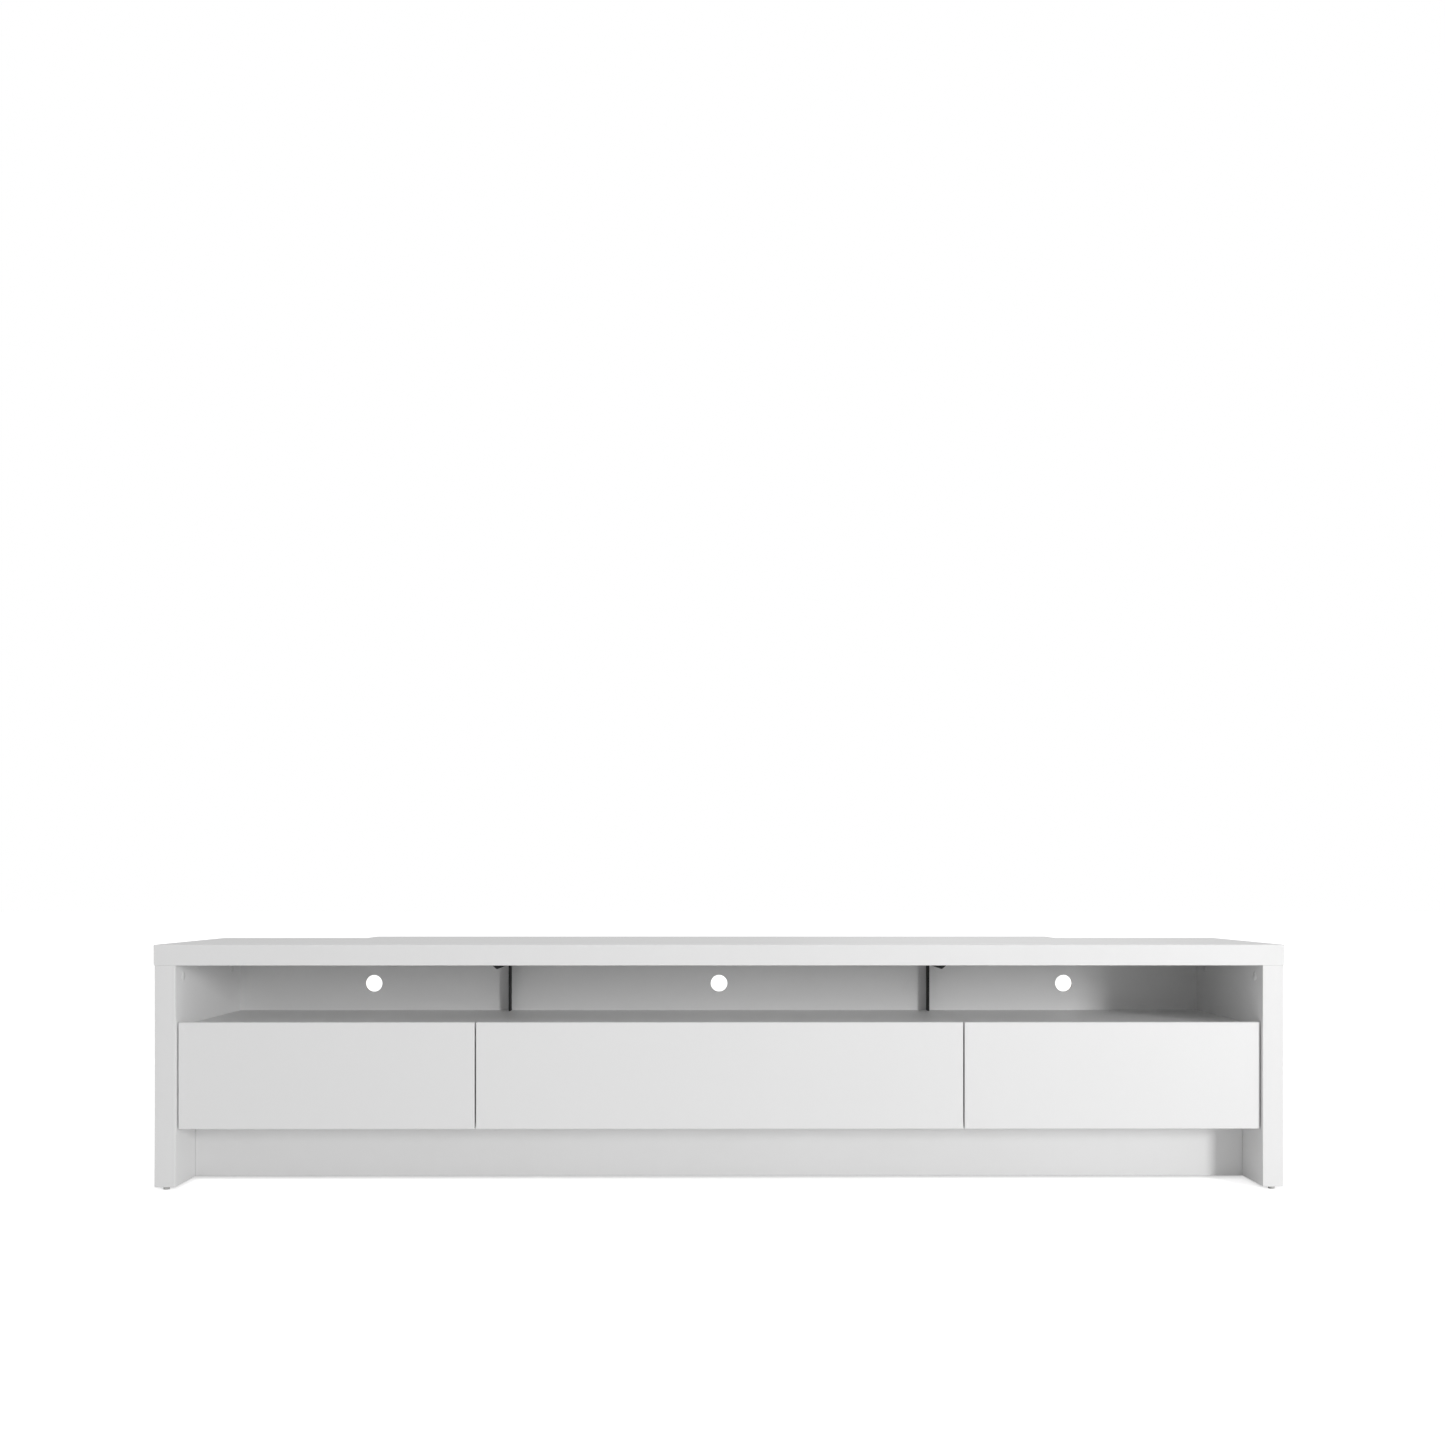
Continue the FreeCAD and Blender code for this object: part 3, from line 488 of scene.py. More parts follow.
@dataclass(frozen=True)
class BareWood(Finish):
    """Planed bare wood with its grain along one axis.

    Attributes:
        late: colour of the darker late wood.
        stretch: squeeze of the grain along each axis; a small value draws it out.
        fibres: how many fibres there are in a metre.
        fibre_tone: tone of the dark fibres.
        depth: height of the fibres.
    """

    late: Colour = (0.42, 0.26, 0.12)
    stretch: Point = (1.0, 1.0, 0.05)
    fibres: float = 620.0
    fibre_tone: float = 0.72
    depth: float = 0.06 * MM

    def material(self) -> bpy.types.Material:
        """Make the material for bare wood.

        Returns:
            The material.
        """
        material, graph, shader, place = self.begin()
        grain = graph.group("grain", place, Stretch=self.stretch, Scale=self.fibres)
        rings = graph.blend(graph.ramp(grain.outputs["Ring"], 0.45, 0.95), self.colour, self.late)
        dark = graph.maths("MULTIPLY", graph.ramp(grain.outputs["Fibre"], 0.4, 0.7), 0.35)
        rough = graph.maths("MULTIPLY_ADD", grain.outputs["Fibre"], 0.2, self.gloss.value - 0.2)
        self.cover(graph, shader, graph.blend(dark, rings, self.shade(self.fibre_tone)), rough)
        self.bump(graph, shader, grain.outputs["Fibre"], self.depth)
        return material


@dataclass(frozen=True)
class FacedHardboard(Finish):
    """Hardboard with a white foil on its front; its rear and its cut edges are bare pressed fibre.

    Attributes:
        foil: colour of the front.
        foil_mark: colour of the soft marks on it.
        fibre: colour of the lighter fibres.
        fibre_stretch: squeeze of the fibres along each axis.
        fibres: how many fibres there are in a metre.
        aged_tone: tone of the darker patches of the rear.
        relief: height of the rear's pressed surface.
        foil_relief: share of it that shows through the foil.
    """

    foil: Colour = (0.80, 0.80, 0.80)
    foil_mark: Colour = (0.776, 0.776, 0.776)
    fibre: Colour = (0.46, 0.30, 0.17)
    fibre_stretch: Point = (0.4, 1.0, 1.0)
    fibres: float = 240.0
    aged_tone: float = 0.8
    relief: float = 0.03 * MM
    foil_relief: float = 0.15

    def material(self) -> bpy.types.Material:
        """Make the material for the back: foil where a face looks forwards, fibre elsewhere.

        Returns:
            The material.
        """
        material, graph, shader, place = self.begin()
        facing = graph.add("SeparateXYZ", {0: graph.add("TexCoord").outputs["Normal"]}).outputs[1]
        front = graph.ramp(facing, -0.9, -0.5, 1.0, 0.0)
        peel = graph.group("peel", place, Scale=900.0)
        fleck = graph.group("grain", place, Stretch=self.fibre_stretch, Scale=self.fibres)
        patch = graph.group("smudge", place, Scale=5.0).outputs[0]
        mixed = graph.blend(graph.ramp(fleck.outputs["Fibre"], 0.35, 0.7), self.colour, self.fibre)
        aged = graph.blend(graph.maths("MULTIPLY", patch, 0.3), mixed, self.shade(self.aged_tone))
        white = graph.blend(graph.maths("MULTIPLY", patch, 0.3), self.foil, self.foil_mark)
        rough = graph.maths("MULTIPLY_ADD", peel.outputs["Patch"], 0.1, self.gloss.value - 0.05)
        rough = graph.maths("MULTIPLY_ADD", front, Gloss.SILK.value - Gloss.RAW.value, rough)
        self.cover(graph, shader, graph.blend(front, aged, white), rough)
        share = graph.ramp(front, 0.0, 1.0, 1.0, self.foil_relief)
        height = graph.maths("MULTIPLY", peel.outputs["Height"], share)
        self.bump(graph, shader, height, self.relief)
        return material


EVEN = (1.0, 1.0, 1.0)          # streaks that aren't drawn out
WHITE = Melamine("white_melamine", (0.82, 0.82, 0.82), Gloss.SATIN)
BAND = Melamine("white_edge_band", (0.815, 0.815, 0.815), Gloss.SILK, pebble=1.3 * MM, dust=0.0)
HARDBOARD = FacedHardboard("faced_hardboard", (0.30, 0.18, 0.095), Gloss.RAW)
PINE = BareWood("planed_pine", (0.66, 0.47, 0.27), Gloss.MATT)
BEECH = BareWood("beech_dowel", (0.60, 0.38, 0.22), Gloss.MATT, stretch=(0.1, 1.0, 1.0))
BLACK = PowderCoat("black_powder_coat", (0.009, 0.009, 0.010), Gloss.MATT)
NICKEL = Plated("nickel_plate", (0.66, 0.64, 0.60), Gloss.SATIN)
ZINC = Plated("zinc_plate", (0.60, 0.61, 0.63), Gloss.SATIN, EVEN)
CASTING = Plated("zinc_casting", (0.46, 0.46, 0.47), Gloss.SILK, EVEN, streak=0.3)
MAGNET = Plated("dark_magnet", (0.16, 0.15, 0.15), Gloss.MATT, EVEN)
CAP = Moulded("white_cap", (0.80, 0.80, 0.80), Gloss.SILK)
HOUSING = Moulded("white_housing", (0.78, 0.78, 0.77), Gloss.SILK)
NYLON = Moulded("grey_nylon", (0.50, 0.50, 0.49), Gloss.MATT)


# ---- surfaces ----
def span_of(node: str) -> tuple[np.ndarray, np.ndarray]:
    """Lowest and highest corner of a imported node, as arrays."""
    low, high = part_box(node)
    return np.array(low), np.array(high)


def solids_in(points: np.ndarray, axes: tuple[Axis, ...], gap: float) -> list[tuple[np.ndarray, np.ndarray]]:
    """Boxes of separate solids, found as clumps of points that stand apart along one axis after another.

    Args:
        points: one row of coordinates for each point.
        axes: the axes to part them along, in order.
        gap: clear distance that parts two solids.

    Returns:
        Lowest and highest corner of each solid.
    """
    if not axes:
        return [(points.min(axis=0), points.max(axis=0))]
    along = points[:, axes[0].value]
    order = np.argsort(along)
    cuts = np.flatnonzero(np.diff(along[order]) > gap) + 1
    found = []
    for part in np.split(points[order], cuts):
        found += solids_in(part, axes[1:], gap)
    return found


def node_points(node: str) -> np.ndarray:
    """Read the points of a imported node.

    Args:
        node: the node's name.

    Returns:
        One row of coordinates for each point.
    """
    mesh = bpy.data.objects[node].data
    points = np.empty(len(mesh.vertices) * 3)
    mesh.vertices.foreach_get("co", points)
    return points.reshape(-1, 3)


def grid_faces(rows: int, columns: int) -> np.ndarray:
    """Quads of a grid whose columns close into a ring: each joins a point, its neighbour and their next row.

    Args:
        rows: points along the first parameter.
        columns: points round the ring.

    Returns:
        An array of four point numbers for each face.
    """
    row = np.arange(rows - 1)[:, None] * columns
    column = np.arange(columns)[None, :]
    after = (column + 1) % columns
    corners = (row + column, row + after, row + columns + after, row + columns + column)
    return np.stack([np.broadcast_to(c, (rows - 1, columns)) for c in corners], axis=-1).reshape(-1, 4)


def make_piece(name: str, skins: list[np.ndarray]) -> bpy.types.Object:
    """Make one mesh object from skins: each is a grid of rings, closed by a flat face at both ends.

    Args:
        name: the piece's name.
        skins: for each skin, rows by columns by three coordinates.

    Returns:
        The object, linked to the scene, at the origin.
    """
    points = []
    faces = []
    first = 0
    for skin in skins:
        rows, columns = skin.shape[:2]
        ring = np.arange(columns) + first
        faces += (grid_faces(rows, columns) + first).tolist()
        faces += [ring.tolist(), (ring + (rows - 1) * columns).tolist()]
        points.append(skin.reshape(-1, 3))
        first += rows * columns
    mesh = bpy.data.meshes.new(name)
    mesh.from_pydata(np.concatenate(points), [], faces)
    close_mesh(mesh)
    mesh.set_sharp_from_angle(angle=SHARP)
    piece = bpy.data.objects.new(name, mesh)
    bpy.context.scene.collection.objects.link(piece)
    normals = piece.modifiers.new("even_shading", "WEIGHTED_NORMAL")
    normals.keep_sharp = True
    LOG.info("%s: %d faces", name, len(mesh.polygons))
    return piece


def close_mesh(mesh: bpy.types.Mesh) -> None:
    """Merge points that meet, drop faces with no area, and turn the rest outwards.

    Args:
        mesh: the mesh, which is changed.
    """
    work = bmesh.new()
    work.from_mesh(mesh)
    bmesh.ops.remove_doubles(work, verts=work.verts, dist=TOUCHING)
    bmesh.ops.dissolve_degenerate(work, edges=work.edges, dist=TOUCHING)
    bmesh.ops.recalc_face_normals(work, faces=work.faces)
    work.to_mesh(mesh)
    work.free()
    mesh.shade_smooth()


def turned(profile: np.ndarray, centre: np.ndarray, axis: Axis, sides: int = 40) -> np.ndarray:
    """Surface of revolution: each profile point goes round the axis at its own radius.

    Args:
        profile: rows of (radius, distance along the axis).
        centre: where the axis starts.
        axis: its direction.
        sides: points round the axis.

    Returns:
        The grid of points.
    """
    angle = np.linspace(0, 2 * math.pi, sides, endpoint=False)
    ring = np.zeros((len(profile), sides, 3))
    ring[..., (axis.value + 1) % 3] = profile[:, :1] * np.cos(angle)
    ring[..., (axis.value + 2) % 3] = profile[:, :1] * np.sin(angle)
    ring[..., axis.value] = profile[:, 1:]
    return ring + centre


def head_pits(screws: str, board: np.ndarray, play: float = 0.1 * MM, depth: float = 3.2 * MM,
              apart: float = 20 * MM) -> list[np.ndarray]:
    """Turned pits for the upright screws whose heads lie flush in a board's underside.

    Args:
        screws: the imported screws.
        board: the board's lowest corner.
        play: gap round a head.
        depth: how deep a pit goes, and how far its skin stands out below the board.
        apart: clear distance that parts two screws.

    Returns:
        A skin for each pit.
    """
    pits = []
    for low, high in solids_in(node_points(screws), (Axis.X, Axis.Y), apart):
        if abs(low[2] - board[2]) < play:
            radius = (high[0] - low[0]) / 2 + play
            profile = np.array([(0.0, -depth), (radius, -depth), (radius, depth), (0.0, depth)])
            pits.append(turned(profile, np.array([*((low + high) / 2)[:2], low[2]]), Axis.Z))
    return pits


def drill(piece: bpy.types.Object, pits: list[np.ndarray]) -> None:
    """Cut pits out of a piece, and keep the result as its mesh.

    Args:
        piece: the piece.
        pits: the pits' skins, which stand out of it a little.
    """
    bit = make_piece("drill_bit", pits)
    cut = piece.modifiers.new("pits", "BOOLEAN")
    cut.object = bit
    whole = piece.data
    evaluated = piece.evaluated_get(bpy.context.evaluated_depsgraph_get())
    piece.data = bpy.data.meshes.new_from_object(evaluated)
    piece.data.set_sharp_from_angle(angle=SHARP)
    piece.modifiers.remove(cut)
    bpy.data.objects.remove(bit)
    bpy.data.meshes.remove(whole)


@dataclass(frozen=True)
class EdgeWork:
    """How a board's edges are finished.

    Attributes:
        radius: radius of the rounded edges.
        band: thickness of the edge band, which is how far in its seam lies.
        seam: depth of the seam, and half its width.
        steps: points round a quarter of an edge.
    """

    radius: float = 1.0 * MM
    band: float = 2.0 * MM
    seam: float = 0.12 * MM
    steps: int = 5

    def quarter(self, half: np.ndarray, turn: int, across: int, up: int) -> tuple[np.ndarray, ...]:
        """One rounded corner of a board's section: a fixed centre and a quarter turn of directions.

        Args:
            half: half width and half thickness of the section.
            turn: quarter turns before this corner.
            across: side of the section's width it is on, 1 or -1.
            up: side of the thickness it is on, 1 or -1.

        Returns:
            Centres, directions and seam depths of its points.
        """
        angle = (np.linspace(0, 1, self.steps) + turn) * math.pi / 2
        centre = np.tile(np.array([across, up]) * (half - self.radius), (self.steps, 1))
        return centre, np.stack([np.cos(angle), np.sin(angle)], 1), np.zeros(self.steps)

    def broad(self, half: np.ndarray, up: int) -> tuple[np.ndarray, ...]:
        """One broad side of the section: three points for each of its two seams, the middle one sunk.

        Args:
            half: half width and half thickness of the section.
            up: side of the thickness it is on, 1 or -1.

        Returns:
            Centres, directions and seam depths of its points.
        """
        inner = half[0] - self.band + self.seam * np.array([1.0, 0.0, -1.0])
        place = up * np.concatenate([inner, -inner[::-1]])
        centre = np.stack([place, np.full(6, up * (half[1] - self.radius))], 1)
        return centre, np.tile([0.0, float(up)], (6, 1)), np.array([0.0, 1.0, 0.0, 0.0, 1.0, 0.0])

    def skin(self, low: np.ndarray, high: np.ndarray) -> np.ndarray:
        """Banded board: its section is carried along its longest side.

        A point is its centre plus its direction times a push. The push is the radius along the board
        and the radius times cos(tilt) round its ends, where the row stands out by radius times
        sin(tilt). A seam takes its depth off the push.

        Args:
            low: lowest corner.
            high: highest corner.

        Returns:
            The grid of points.
        """
        half = (high - low) / 2
        thin, wide, long = np.argsort(half)
        section = half[[wide, thin]]
        stops = [self.quarter(section, 0, 1, 1), self.broad(section, 1), self.quarter(section, 1, -1, 1),
                 self.quarter(section, 2, -1, -1), self.broad(section, -1), self.quarter(section, 3, 1, -1)]
        centre, direction, sunk = (np.concatenate(part) for part in zip(*stops))
        flat = (np.abs(direction[:, 1]) > 0.999).astype(float)
        tilt = np.linspace(math.pi / 2, 0, self.steps)
        inner = half[long] - self.band + self.seam * np.array([1.0, 0.0, -1.0])
        along = np.concatenate([half[long] - self.radius * (1 - np.sin(tilt)), inner])
        push = np.concatenate([self.radius * np.cos(tilt), np.full(3, self.radius)])
        cross = np.zeros(len(along))
        cross[-2] = 1.0
        along = np.concatenate([along, -along[::-1]])[:, None]
        push, cross = (np.concatenate([part, part[::-1]])[:, None] for part in (push, cross))
        push = push - self.seam * np.maximum(sunk * push / self.radius, cross * flat)
        points = np.zeros((len(along), len(centre), 3))
        points[..., wide] = centre[:, 0] + push * direction[:, 0]
        points[..., thin] = centre[:, 1] + push * direction[:, 1]
        points[..., long] = along
        return points + (low + high) / 2

    def mark_bands(self, piece: bpy.types.Object, low: np.ndarray, high: np.ndarray) -> None:
        """Give the faces outside the seams the second material.

        Args:
            piece: the board.
            low: its lowest corner.
            high: its highest corner.
        """
        mesh = piece.data
        centres = np.empty(len(mesh.polygons) * 3)
        mesh.polygons.foreach_get("center", centres)
        half = (high - low) / 2
        inside = half - np.abs(centres.reshape(-1, 3) - (low + high) / 2)
        thin = int(np.argmin(half))
        beside = np.delete(inside, thin, axis=1).min(axis=1) < self.band
        mesh.polygons.foreach_set("material_index", beside.astype(np.int32))


# ---- sub-assemblies ----
def dress(node: str, *materials: bpy.types.Material) -> None:
    """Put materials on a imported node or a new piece, in place of what it has.

    Args:
        node: its name.
        materials: the materials, in the order of their numbers.
    """
    slots = bpy.data.objects[node].data.materials
    slots.clear()
    for material in materials:
        slots.append(material)
    LOG.info("%s: %s", node, ", ".join(material.name for material in materials))


@dataclass
class Boards:
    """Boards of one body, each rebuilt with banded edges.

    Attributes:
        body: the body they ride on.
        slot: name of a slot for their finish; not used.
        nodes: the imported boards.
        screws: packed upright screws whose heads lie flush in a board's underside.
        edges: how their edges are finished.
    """

    body: str
    slot: str
    nodes: tuple[str, ...]
    screws: str = ""
    edges: EdgeWork = EdgeWork()

    def build(self) -> None:
        """Make, dress and hang every board."""
        for node in self.nodes:
            low, high = span_of(node)
            piece = make_piece(node + "_banded", [self.edges.skin(low, high)])
            if self.screws:
                drill(piece, head_pits(self.screws, low))
            dress(piece.name, WHITE.material(low, high), BAND.material(low, high))
            self.edges.mark_bands(piece, low, high)
            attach(piece, self.body)
            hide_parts(node)


@dataclass
class Glides:
    """Nylon glides that the stand rests on, each with a shoulder and a dished foot.

    Attributes:
        node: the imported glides.
        apart: clear distance that parts two glides.
        dish: how deep the foot is dished.
        edge: radius of the foot's edge.
        shoulder: height of the shoulder's start and end, as shares of the glide's height.
        neck: radius above the shoulder, as a share of the foot's.
    """

    node: str = "glides"
    apart: float = 12 * MM
    dish: float = 0.5 * MM
    edge: float = 0.8 * MM
    shoulder: tuple[float, float] = (0.45, 0.5)
    neck: float = 0.86

    def profile(self, radius: float, height: float) -> np.ndarray:
        """Half section from the dished foot's middle, out round its edge and up to the shoulder.

        The dish rises towards the middle by its depth times (1 - (radius / its rim) squared).

        Args:
            radius: the foot's radius.
            height: the glide's height.

        Returns:
            Rows of (radius, height).
        """
        dish_radius = np.linspace(0, radius - self.edge, 8)
        dish_height = self.dish * (1 - (dish_radius / dish_radius[-1]) ** 2)
        turn = np.linspace(-math.pi / 2, 0, 6)
        edge_radius = radius - self.edge + self.edge * np.cos(turn)
        edge_height = self.edge + self.edge * np.sin(turn)
        dished = np.stack([dish_radius, dish_height], 1)
        rounded = np.stack([edge_radius, edge_height], 1)[1:]
        start, end = (share * height for share in self.shoulder)
        neck = radius * self.neck
        top = [(radius, start), (neck, end), (neck, height), (0.0, height)]
        return np.concatenate([dished, rounded, top])

    def build(self) -> None:
        """Turn a glide in each place."""
        skins = []
        for low, high in solids_in(node_points(self.node), (Axis.X, Axis.Y), self.apart):
            centre = np.array([*((low + high) / 2)[:2], low[2]])
            skins.append(turned(self.profile((high[0] - low[0]) / 2, high[2] - low[2]), centre, Axis.Z))
        piece = make_piece("turned_glides", skins)
        dress(piece.name, NYLON.material())
        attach(piece, "carcass")
        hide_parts(self.node)


@dataclass
class Fittings:
    """Packed fittings that keep their shape, by finish.

    Attributes:
        by_finish: the nodes of each finish.
    """

    by_finish: dict[Finish, tuple[str, ...]]

    def build(self) -> None:
        """Dress every fitting; the ones of a finish share its material."""
        for finish, nodes in self.by_finish.items():
            material = finish.material()
            for node in nodes:
                dress(node, material)


@dataclass
class EasedFittings:
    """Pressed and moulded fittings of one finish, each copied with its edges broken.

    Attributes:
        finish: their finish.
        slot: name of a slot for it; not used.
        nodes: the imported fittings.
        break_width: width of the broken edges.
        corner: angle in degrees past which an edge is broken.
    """

    finish: Finish
    slot: str
    nodes: tuple[str, ...]
    break_width: float = 0.3 * MM
    corner: float = 50.0

    def build(self) -> None:
        """Copy, ease, dress and hang every fitting."""
        material = self.finish.material()
        for node in self.nodes:
            piece = self.copy_of(node)
            ease = piece.modifiers.new("broken_edges", "BEVEL")
            ease.width = self.break_width
            ease.segments = 2
            ease.limit_method = "ANGLE"
            ease.angle_limit = math.radians(self.corner)
            ease.harden_normals = True
            dress(piece.name, material)
            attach(piece, bpy.data.objects[node]["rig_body"])
            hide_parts(node)

    def copy_of(self, node: str) -> bpy.types.Object:
        """Copy a packed fitting, with the triangles of each flat face joined into one face.

        Args:
            node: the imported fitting.

        Returns:
            The copy, linked to the scene.
        """
        mesh = bpy.data.objects[node].data.copy()
        mesh.name = node + "_eased"
        work = bmesh.new()
        work.from_mesh(mesh)
        bmesh.ops.remove_doubles(work, verts=work.verts, dist=PACKED_TOUCHING)
        bmesh.ops.dissolve_limit(work, angle_limit=FLAT, verts=work.verts, edges=work.edges)
        bmesh.ops.recalc_face_normals(work, faces=work.faces)
        work.to_mesh(mesh)
        work.free()
        mesh.shade_smooth()
        mesh.set_sharp_from_angle(angle=math.radians(self.corner))
        piece = bpy.data.objects.new(node + "_eased", mesh)
        bpy.context.scene.collection.objects.link(piece)
        return piece


@dataclass
class CatchMagnets:
    """A dark magnet between two steel pole plates, let into the front of each catch.

    Attributes:
        node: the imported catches.
        apart: clear distance that parts two catches.
        proud: how far the poles and the magnet stand out of the housing.
        pole: thickness of a pole plate.
        depths: how deep the poles and the magnet go in.
        spread: distance from the middle to a pole, as a share of the housing's height.
        inset: how far the poles stop short of the ears' ends.
    """

    node: str = "catch_bodies"
    apart: float = 60 * MM
    proud: tuple[float, float] = (0.2 * MM, 0.1 * MM)
    pole: float = 1.6 * MM
    depths: tuple[float, float] = (6.4 * MM, 4.8 * MM)
    spread: float = 0.24
    inset: float = 15.0 * MM

    def build(self) -> None:
        """Make the poles and the magnets of all the catches."""
        poles = []
        magnets = []
        edges = EdgeWork(radius=0.25 * MM, band=0.8 * MM, seam=0.0)
        for low, high in solids_in(node_points(self.node), (Axis.X,), self.apart):
            left = low[0] + self.inset
            right = high[0] - self.inset
            front = low[1]
            middle = (low[2] + high[2]) / 2
            reach = (high[2] - low[2]) * self.spread
            for z in (middle - reach, middle + reach):
                poles.append(edges.skin(np.array([left, front - self.proud[0], z - self.pole / 2]),
                                        np.array([right, front + self.depths[0], z + self.pole / 2])))
            half = reach - self.pole
            magnets.append(edges.skin(np.array([left + MM, front - self.proud[1], middle - half]),
                                      np.array([right - MM, front + self.depths[1], middle + half])))
        for name, skins, finish in (("catch_poles", poles, ZINC), ("catch_magnets", magnets, MAGNET)):
            piece = make_piece(name, skins)
            dress(name, finish.material())
            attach(piece, "carcass")


# ---- studio ----
@dataclass(frozen=True)
class SoftLight:
    """One rectangular studio light.

    Attributes:
        name: what it does.
        place: its centre.
        size: its width and height.
        power: its power in watts.
        aim: the point it faces.
    """

    name: str
    place: Point
    size: tuple[float, float]
    power: float
    aim: Point = (0.0, -0.1, 0.3)

    def build(self) -> None:
        """Add the light."""
        data = bpy.data.lights.new(self.name, "AREA")
        data.shape = "RECTANGLE"
        data.size, data.size_y = self.size
        data.energy = self.power
        light = bpy.data.objects.new(self.name, data)
        bpy.context.scene.collection.objects.link(light)
        light.location = self.place
        light.rotation_euler = (Vector(self.aim) - Vector(self.place)).to_track_quat("-Z", "Y").to_euler()


@dataclass
class Studio:
    """Pale floor, soft light and the camera.

    Attributes:
        floor_reach: how far the floor goes from its middle.
        paper: colour of the paper.
        paper_shade: its colour in the darker clouds.
        floor_glow: painted glow of the paper far from the stand, which paints it white.
        floor_glow_under: its weaker painted glow under and near the stand, which paints a soft shade round
            it.
        footprint: half width and half depth of the stand; the height is large, so it has no effect.
        glow_rise: distance beside it in which the glow gains 63% of what it still lacks.
        sky: strength of the even light from all round.
        camera_place: where the camera stands.
        camera_turn: how far it looks to the right, in degrees.
        lens: focal length in mm.
        sensor: width of the sensor in mm.
        clip: nearest and farthest distance that is seen.
        shift: how far the picture is shifted, in frame widths.
    """

    floor_reach: float = 30.0
    paper: Colour = (0.90, 0.90, 0.90)
    paper_shade: Colour = (0.88, 0.88, 0.88)
    floor_glow: float = 0.85
    floor_glow_under: float = 0.6
    footprint: Point = (1.085, 0.2225, 1.0)
    glow_rise: float = 0.35
    sky: float = 0.55
    lights: tuple[SoftLight, ...] = (
        SoftLight("key", (3.89, -4.57, 1.24), (0.9, 1.6), 136.0),
        SoftLight("rear_fill", (1.48, 3.97, 2.80), (2.0, 2.0), 14.0),
        SoftLight("top_fill", (0.09, -0.61, 3.25), (2.5, 2.5), 16.0),
    )
    camera_place: Point = (-0.0108, -2.6935, 0.5746)
    camera_turn: float = 0.18
    lens: float = 32.1
    sensor: float = 36.0
    clip: tuple[float, float] = (0.05, 200.0)
    shift: tuple[float, float] = (0.003, 0.116)

    def build(self) -> None:
        """Build the whole studio."""
        self.make_floor()
        self.make_sky()
        for light in self.lights:
            light.build()
        self.make_camera()
        scene = bpy.context.scene
        scene.view_settings.view_transform = "Standard"
        scene.view_settings.look = "None"

    def make_floor(self) -> None:
        """One large flat sheet of seamless paper under the glides' feet.

        Where it is seen it gives off a painted glow of full + (under - full) e^(-away / rise), with away
        the distance outside the stand's footprint, so the weaker glow near the stand paints a soft shade
        round it. It lights the stand only by what it reflects.
        """
        reach = self.floor_reach
        mesh = bpy.data.meshes.new("paper_floor")
        corners = [(-reach, -reach, 0.0), (reach, -reach, 0.0), (reach, reach, 0.0), (-reach, reach, 0.0)]
        mesh.from_pydata(corners, [], [(0, 1, 2, 3)])
        floor = bpy.data.objects.new("paper_floor", mesh)
        bpy.context.scene.collection.objects.link(floor)
        material, graph, shader, place = Finish("seamless_paper", self.paper, Gloss.RAW).begin()
        cloud = graph.group("smudge", place, Scale=0.8).outputs[0]
        tone = graph.blend(cloud, self.paper, self.paper_shade)
        beside = graph.add("VectorMath", {0: place}, operation="ABSOLUTE").outputs[0]
        outside = graph.add("VectorMath", {0: beside, 1: self.footprint}, operation="SUBTRACT").outputs[0]
        outside = graph.add("VectorMath", {0: outside, 1: (0.0, 0.0, 0.0)}, operation="MAXIMUM").outputs[0]
        away = graph.add("VectorMath", {0: outside}, operation="LENGTH").outputs["Value"]
        near_stand_shade = graph.maths("EXPONENT", graph.maths("DIVIDE", away, -self.glow_rise))
        # painted glow, weaker near the stand: a painted soft shade round the stand
        glow = graph.maths("MULTIPLY_ADD", near_stand_shade, self.floor_glow_under - self.floor_glow, self.floor_glow)
        seen = graph.add("LightPath").outputs["Is Camera Ray"]
        graph.tree.links.new(tone, shader.inputs["Base Color"])
        graph.tree.links.new(graph.maths("MULTIPLY", glow, seen), shader.inputs["Emission Strength"])
        shader.inputs["Emission Color"].default_value = (1.0, 1.0, 1.0, 1.0)
        shader.inputs["Specular IOR Level"].default_value = 0.2
        mesh.materials.append(material)

    def make_sky(self) -> None:
        """Even white light: full white where it is seen, weaker where it lights the stand."""
        world = bpy.data.worlds.new("white_surround")
        world.use_nodes = True
        world.node_tree.nodes.clear()
        graph = NodeGraph(world.node_tree)
        seen = graph.add("LightPath").outputs["Is Camera Ray"]
        strength = graph.ramp(seen, 0.0, 1.0, self.sky, 1.0)
        sky = graph.add("Background", {"Color": (1.0, 1.0, 1.0, 1.0), "Strength": strength})
        graph.tree.links.new(sky.outputs[0], graph.add("OutputWorld").inputs["Surface"])
        bpy.context.scene.world = world

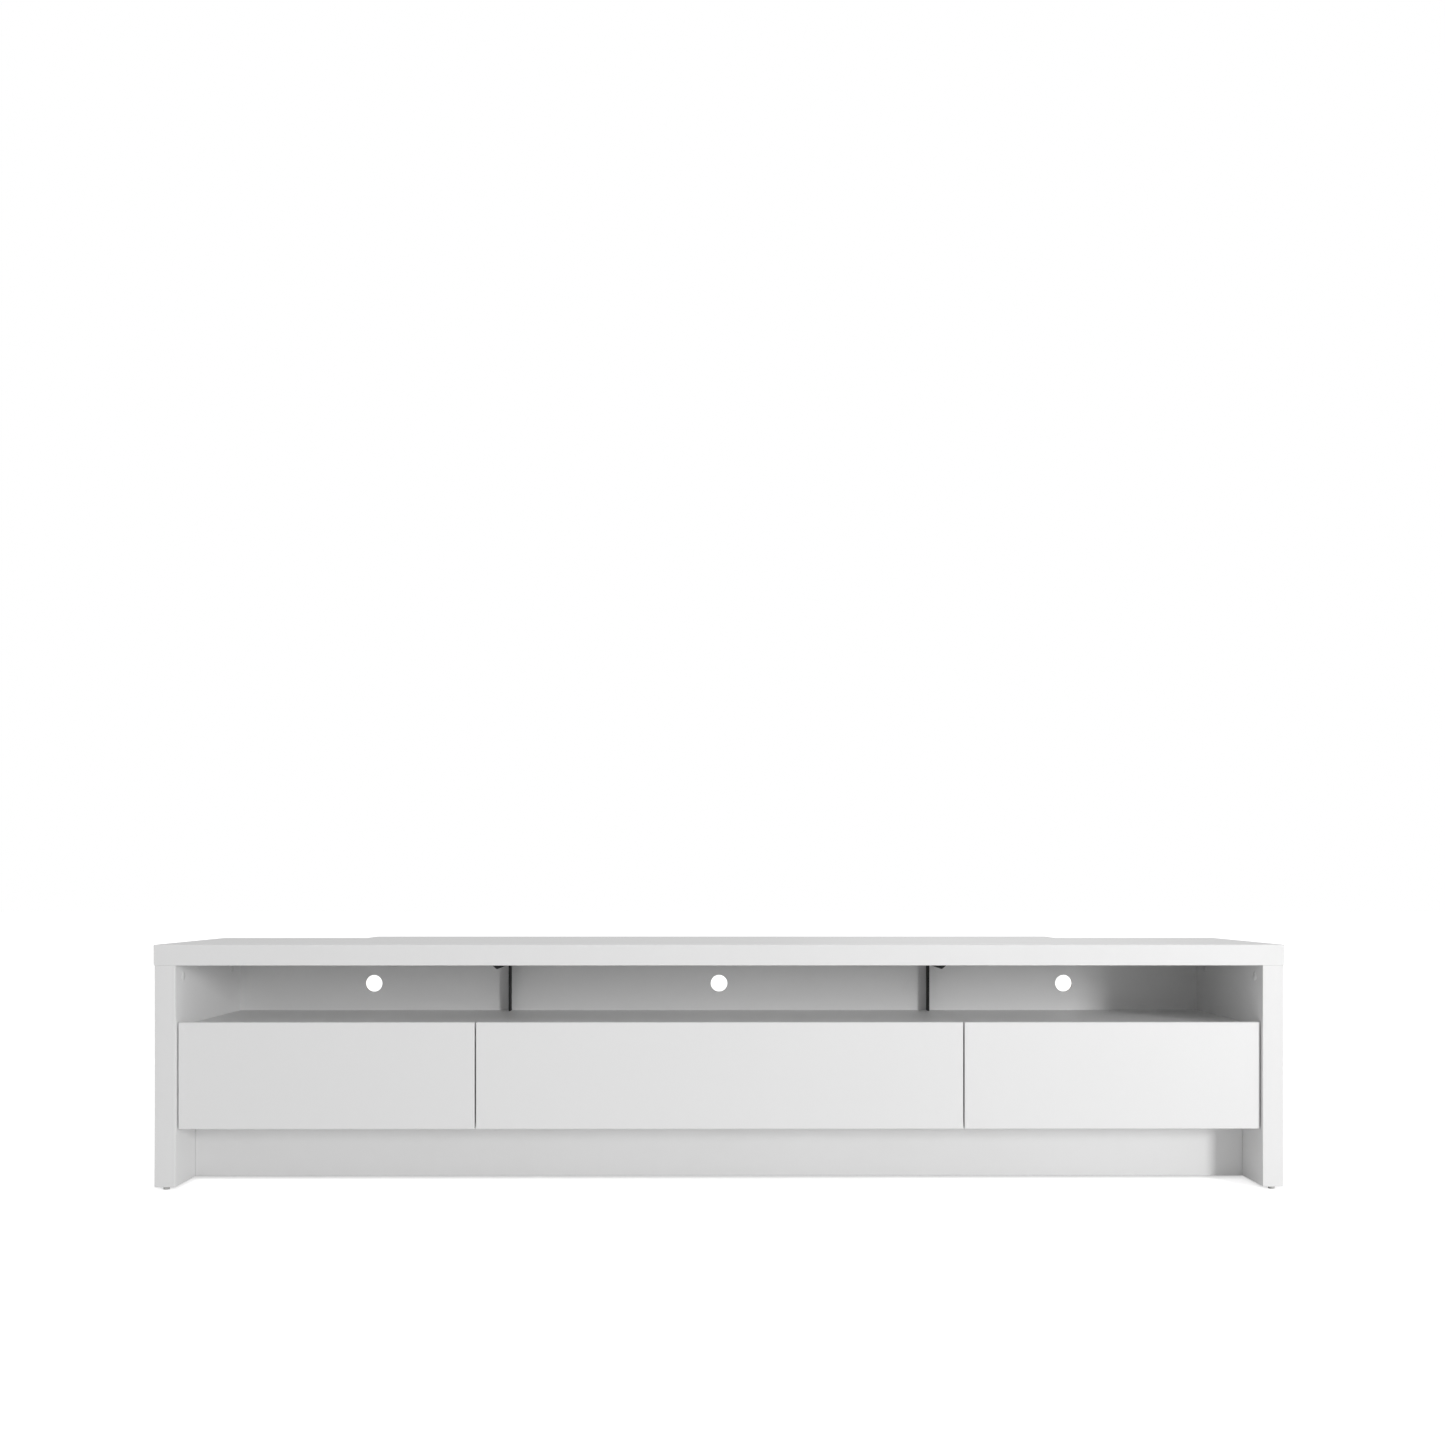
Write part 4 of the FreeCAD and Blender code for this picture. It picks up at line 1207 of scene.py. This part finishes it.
    def make_camera(self) -> None:
        """Level camera in front, looking at the stand with the picture shifted up."""
        data = bpy.data.cameras.new("camera")
        data.sensor_width = self.sensor
        data.lens = self.lens
        data.shift_x, data.shift_y = self.shift
        data.clip_start, data.clip_end = self.clip
        camera = bpy.data.objects.new("camera", data)
        bpy.context.scene.collection.objects.link(camera)
        camera.location = self.camera_place
        camera.rotation_euler = (math.radians(90), 0.0, math.radians(-self.camera_turn))
        bpy.context.scene.camera = camera


def main() -> None:
    """Build the stand's looks in order."""
    logging.basicConfig(level=logging.INFO, format="%(message)s")
    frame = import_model()
    Effects().make_all()
    Studio().build()
    white = "white_melamine_board"
    Boards("carcass", white, ("top_panel", "rear_extension", "side_panel_left", "side_panel_right",
                              "shelf_panel", "divider_left", "divider_right", "plinth_front",
                              "plinth_rear")).build()
    Boards("carcass", white, ("bottom_panel",), screws="confirmat_screws").build()
    doors = ("door_left", "door_centre", "door_right")
    for door in doors:
        Boards(door, "white_door_front", (door,)).build()
    Glides().build()
    stays = [name for name in frame["nodes"] if name.startswith(("stay_arm", "stay_link"))]
    for rib in ("plinth_rib_left", "plinth_rib_right"):
        dress(rib, WHITE.material(*span_of(rib)))
    parts = ("hinge_leaves", "stay_ears", "strikes", "screws")
    leaves, ears, strikes, screws = (tuple(f"{door}_{part}" for door in doors) for part in parts)
    EasedFittings(BLACK, "black_powder_coat_steel", ("support_bracket_left", "support_bracket_right")).build()
    EasedFittings(NICKEL, "nickel_plated_hinge", ("hinge_fixed_leaves", *leaves), 0.2 * MM).build()
    EasedFittings(NICKEL, "nickel_plated_stay", ("stay_wall_plates", *stays, *ears), 0.15 * MM).build()
    EasedFittings(ZINC, "zinc_strike", strikes, 0.15 * MM).build()
    EasedFittings(CAP, "white_plastic_cap", ("cam_caps", "confirmat_caps"), 0.2 * MM).build()
    EasedFittings(HOUSING, "white_plastic_catch", ("catch_bodies",), 0.5 * MM).build()
    CatchMagnets().build()
    Fittings({
        HARDBOARD: ("back_panel_left", "back_panel_centre", "back_panel_right"),
        PINE: ("back_batten_left", "back_batten_right"),
        BEECH: ("dowels",),
        CASTING: ("cam_locks",),
        NICKEL: ("hinge_pins",),
        ZINC: ("back_panel_screws", "cam_bolts", "carcass_screws", "confirmat_screws", *screws),
    }).build()


if __name__ == "__main__":
    main()
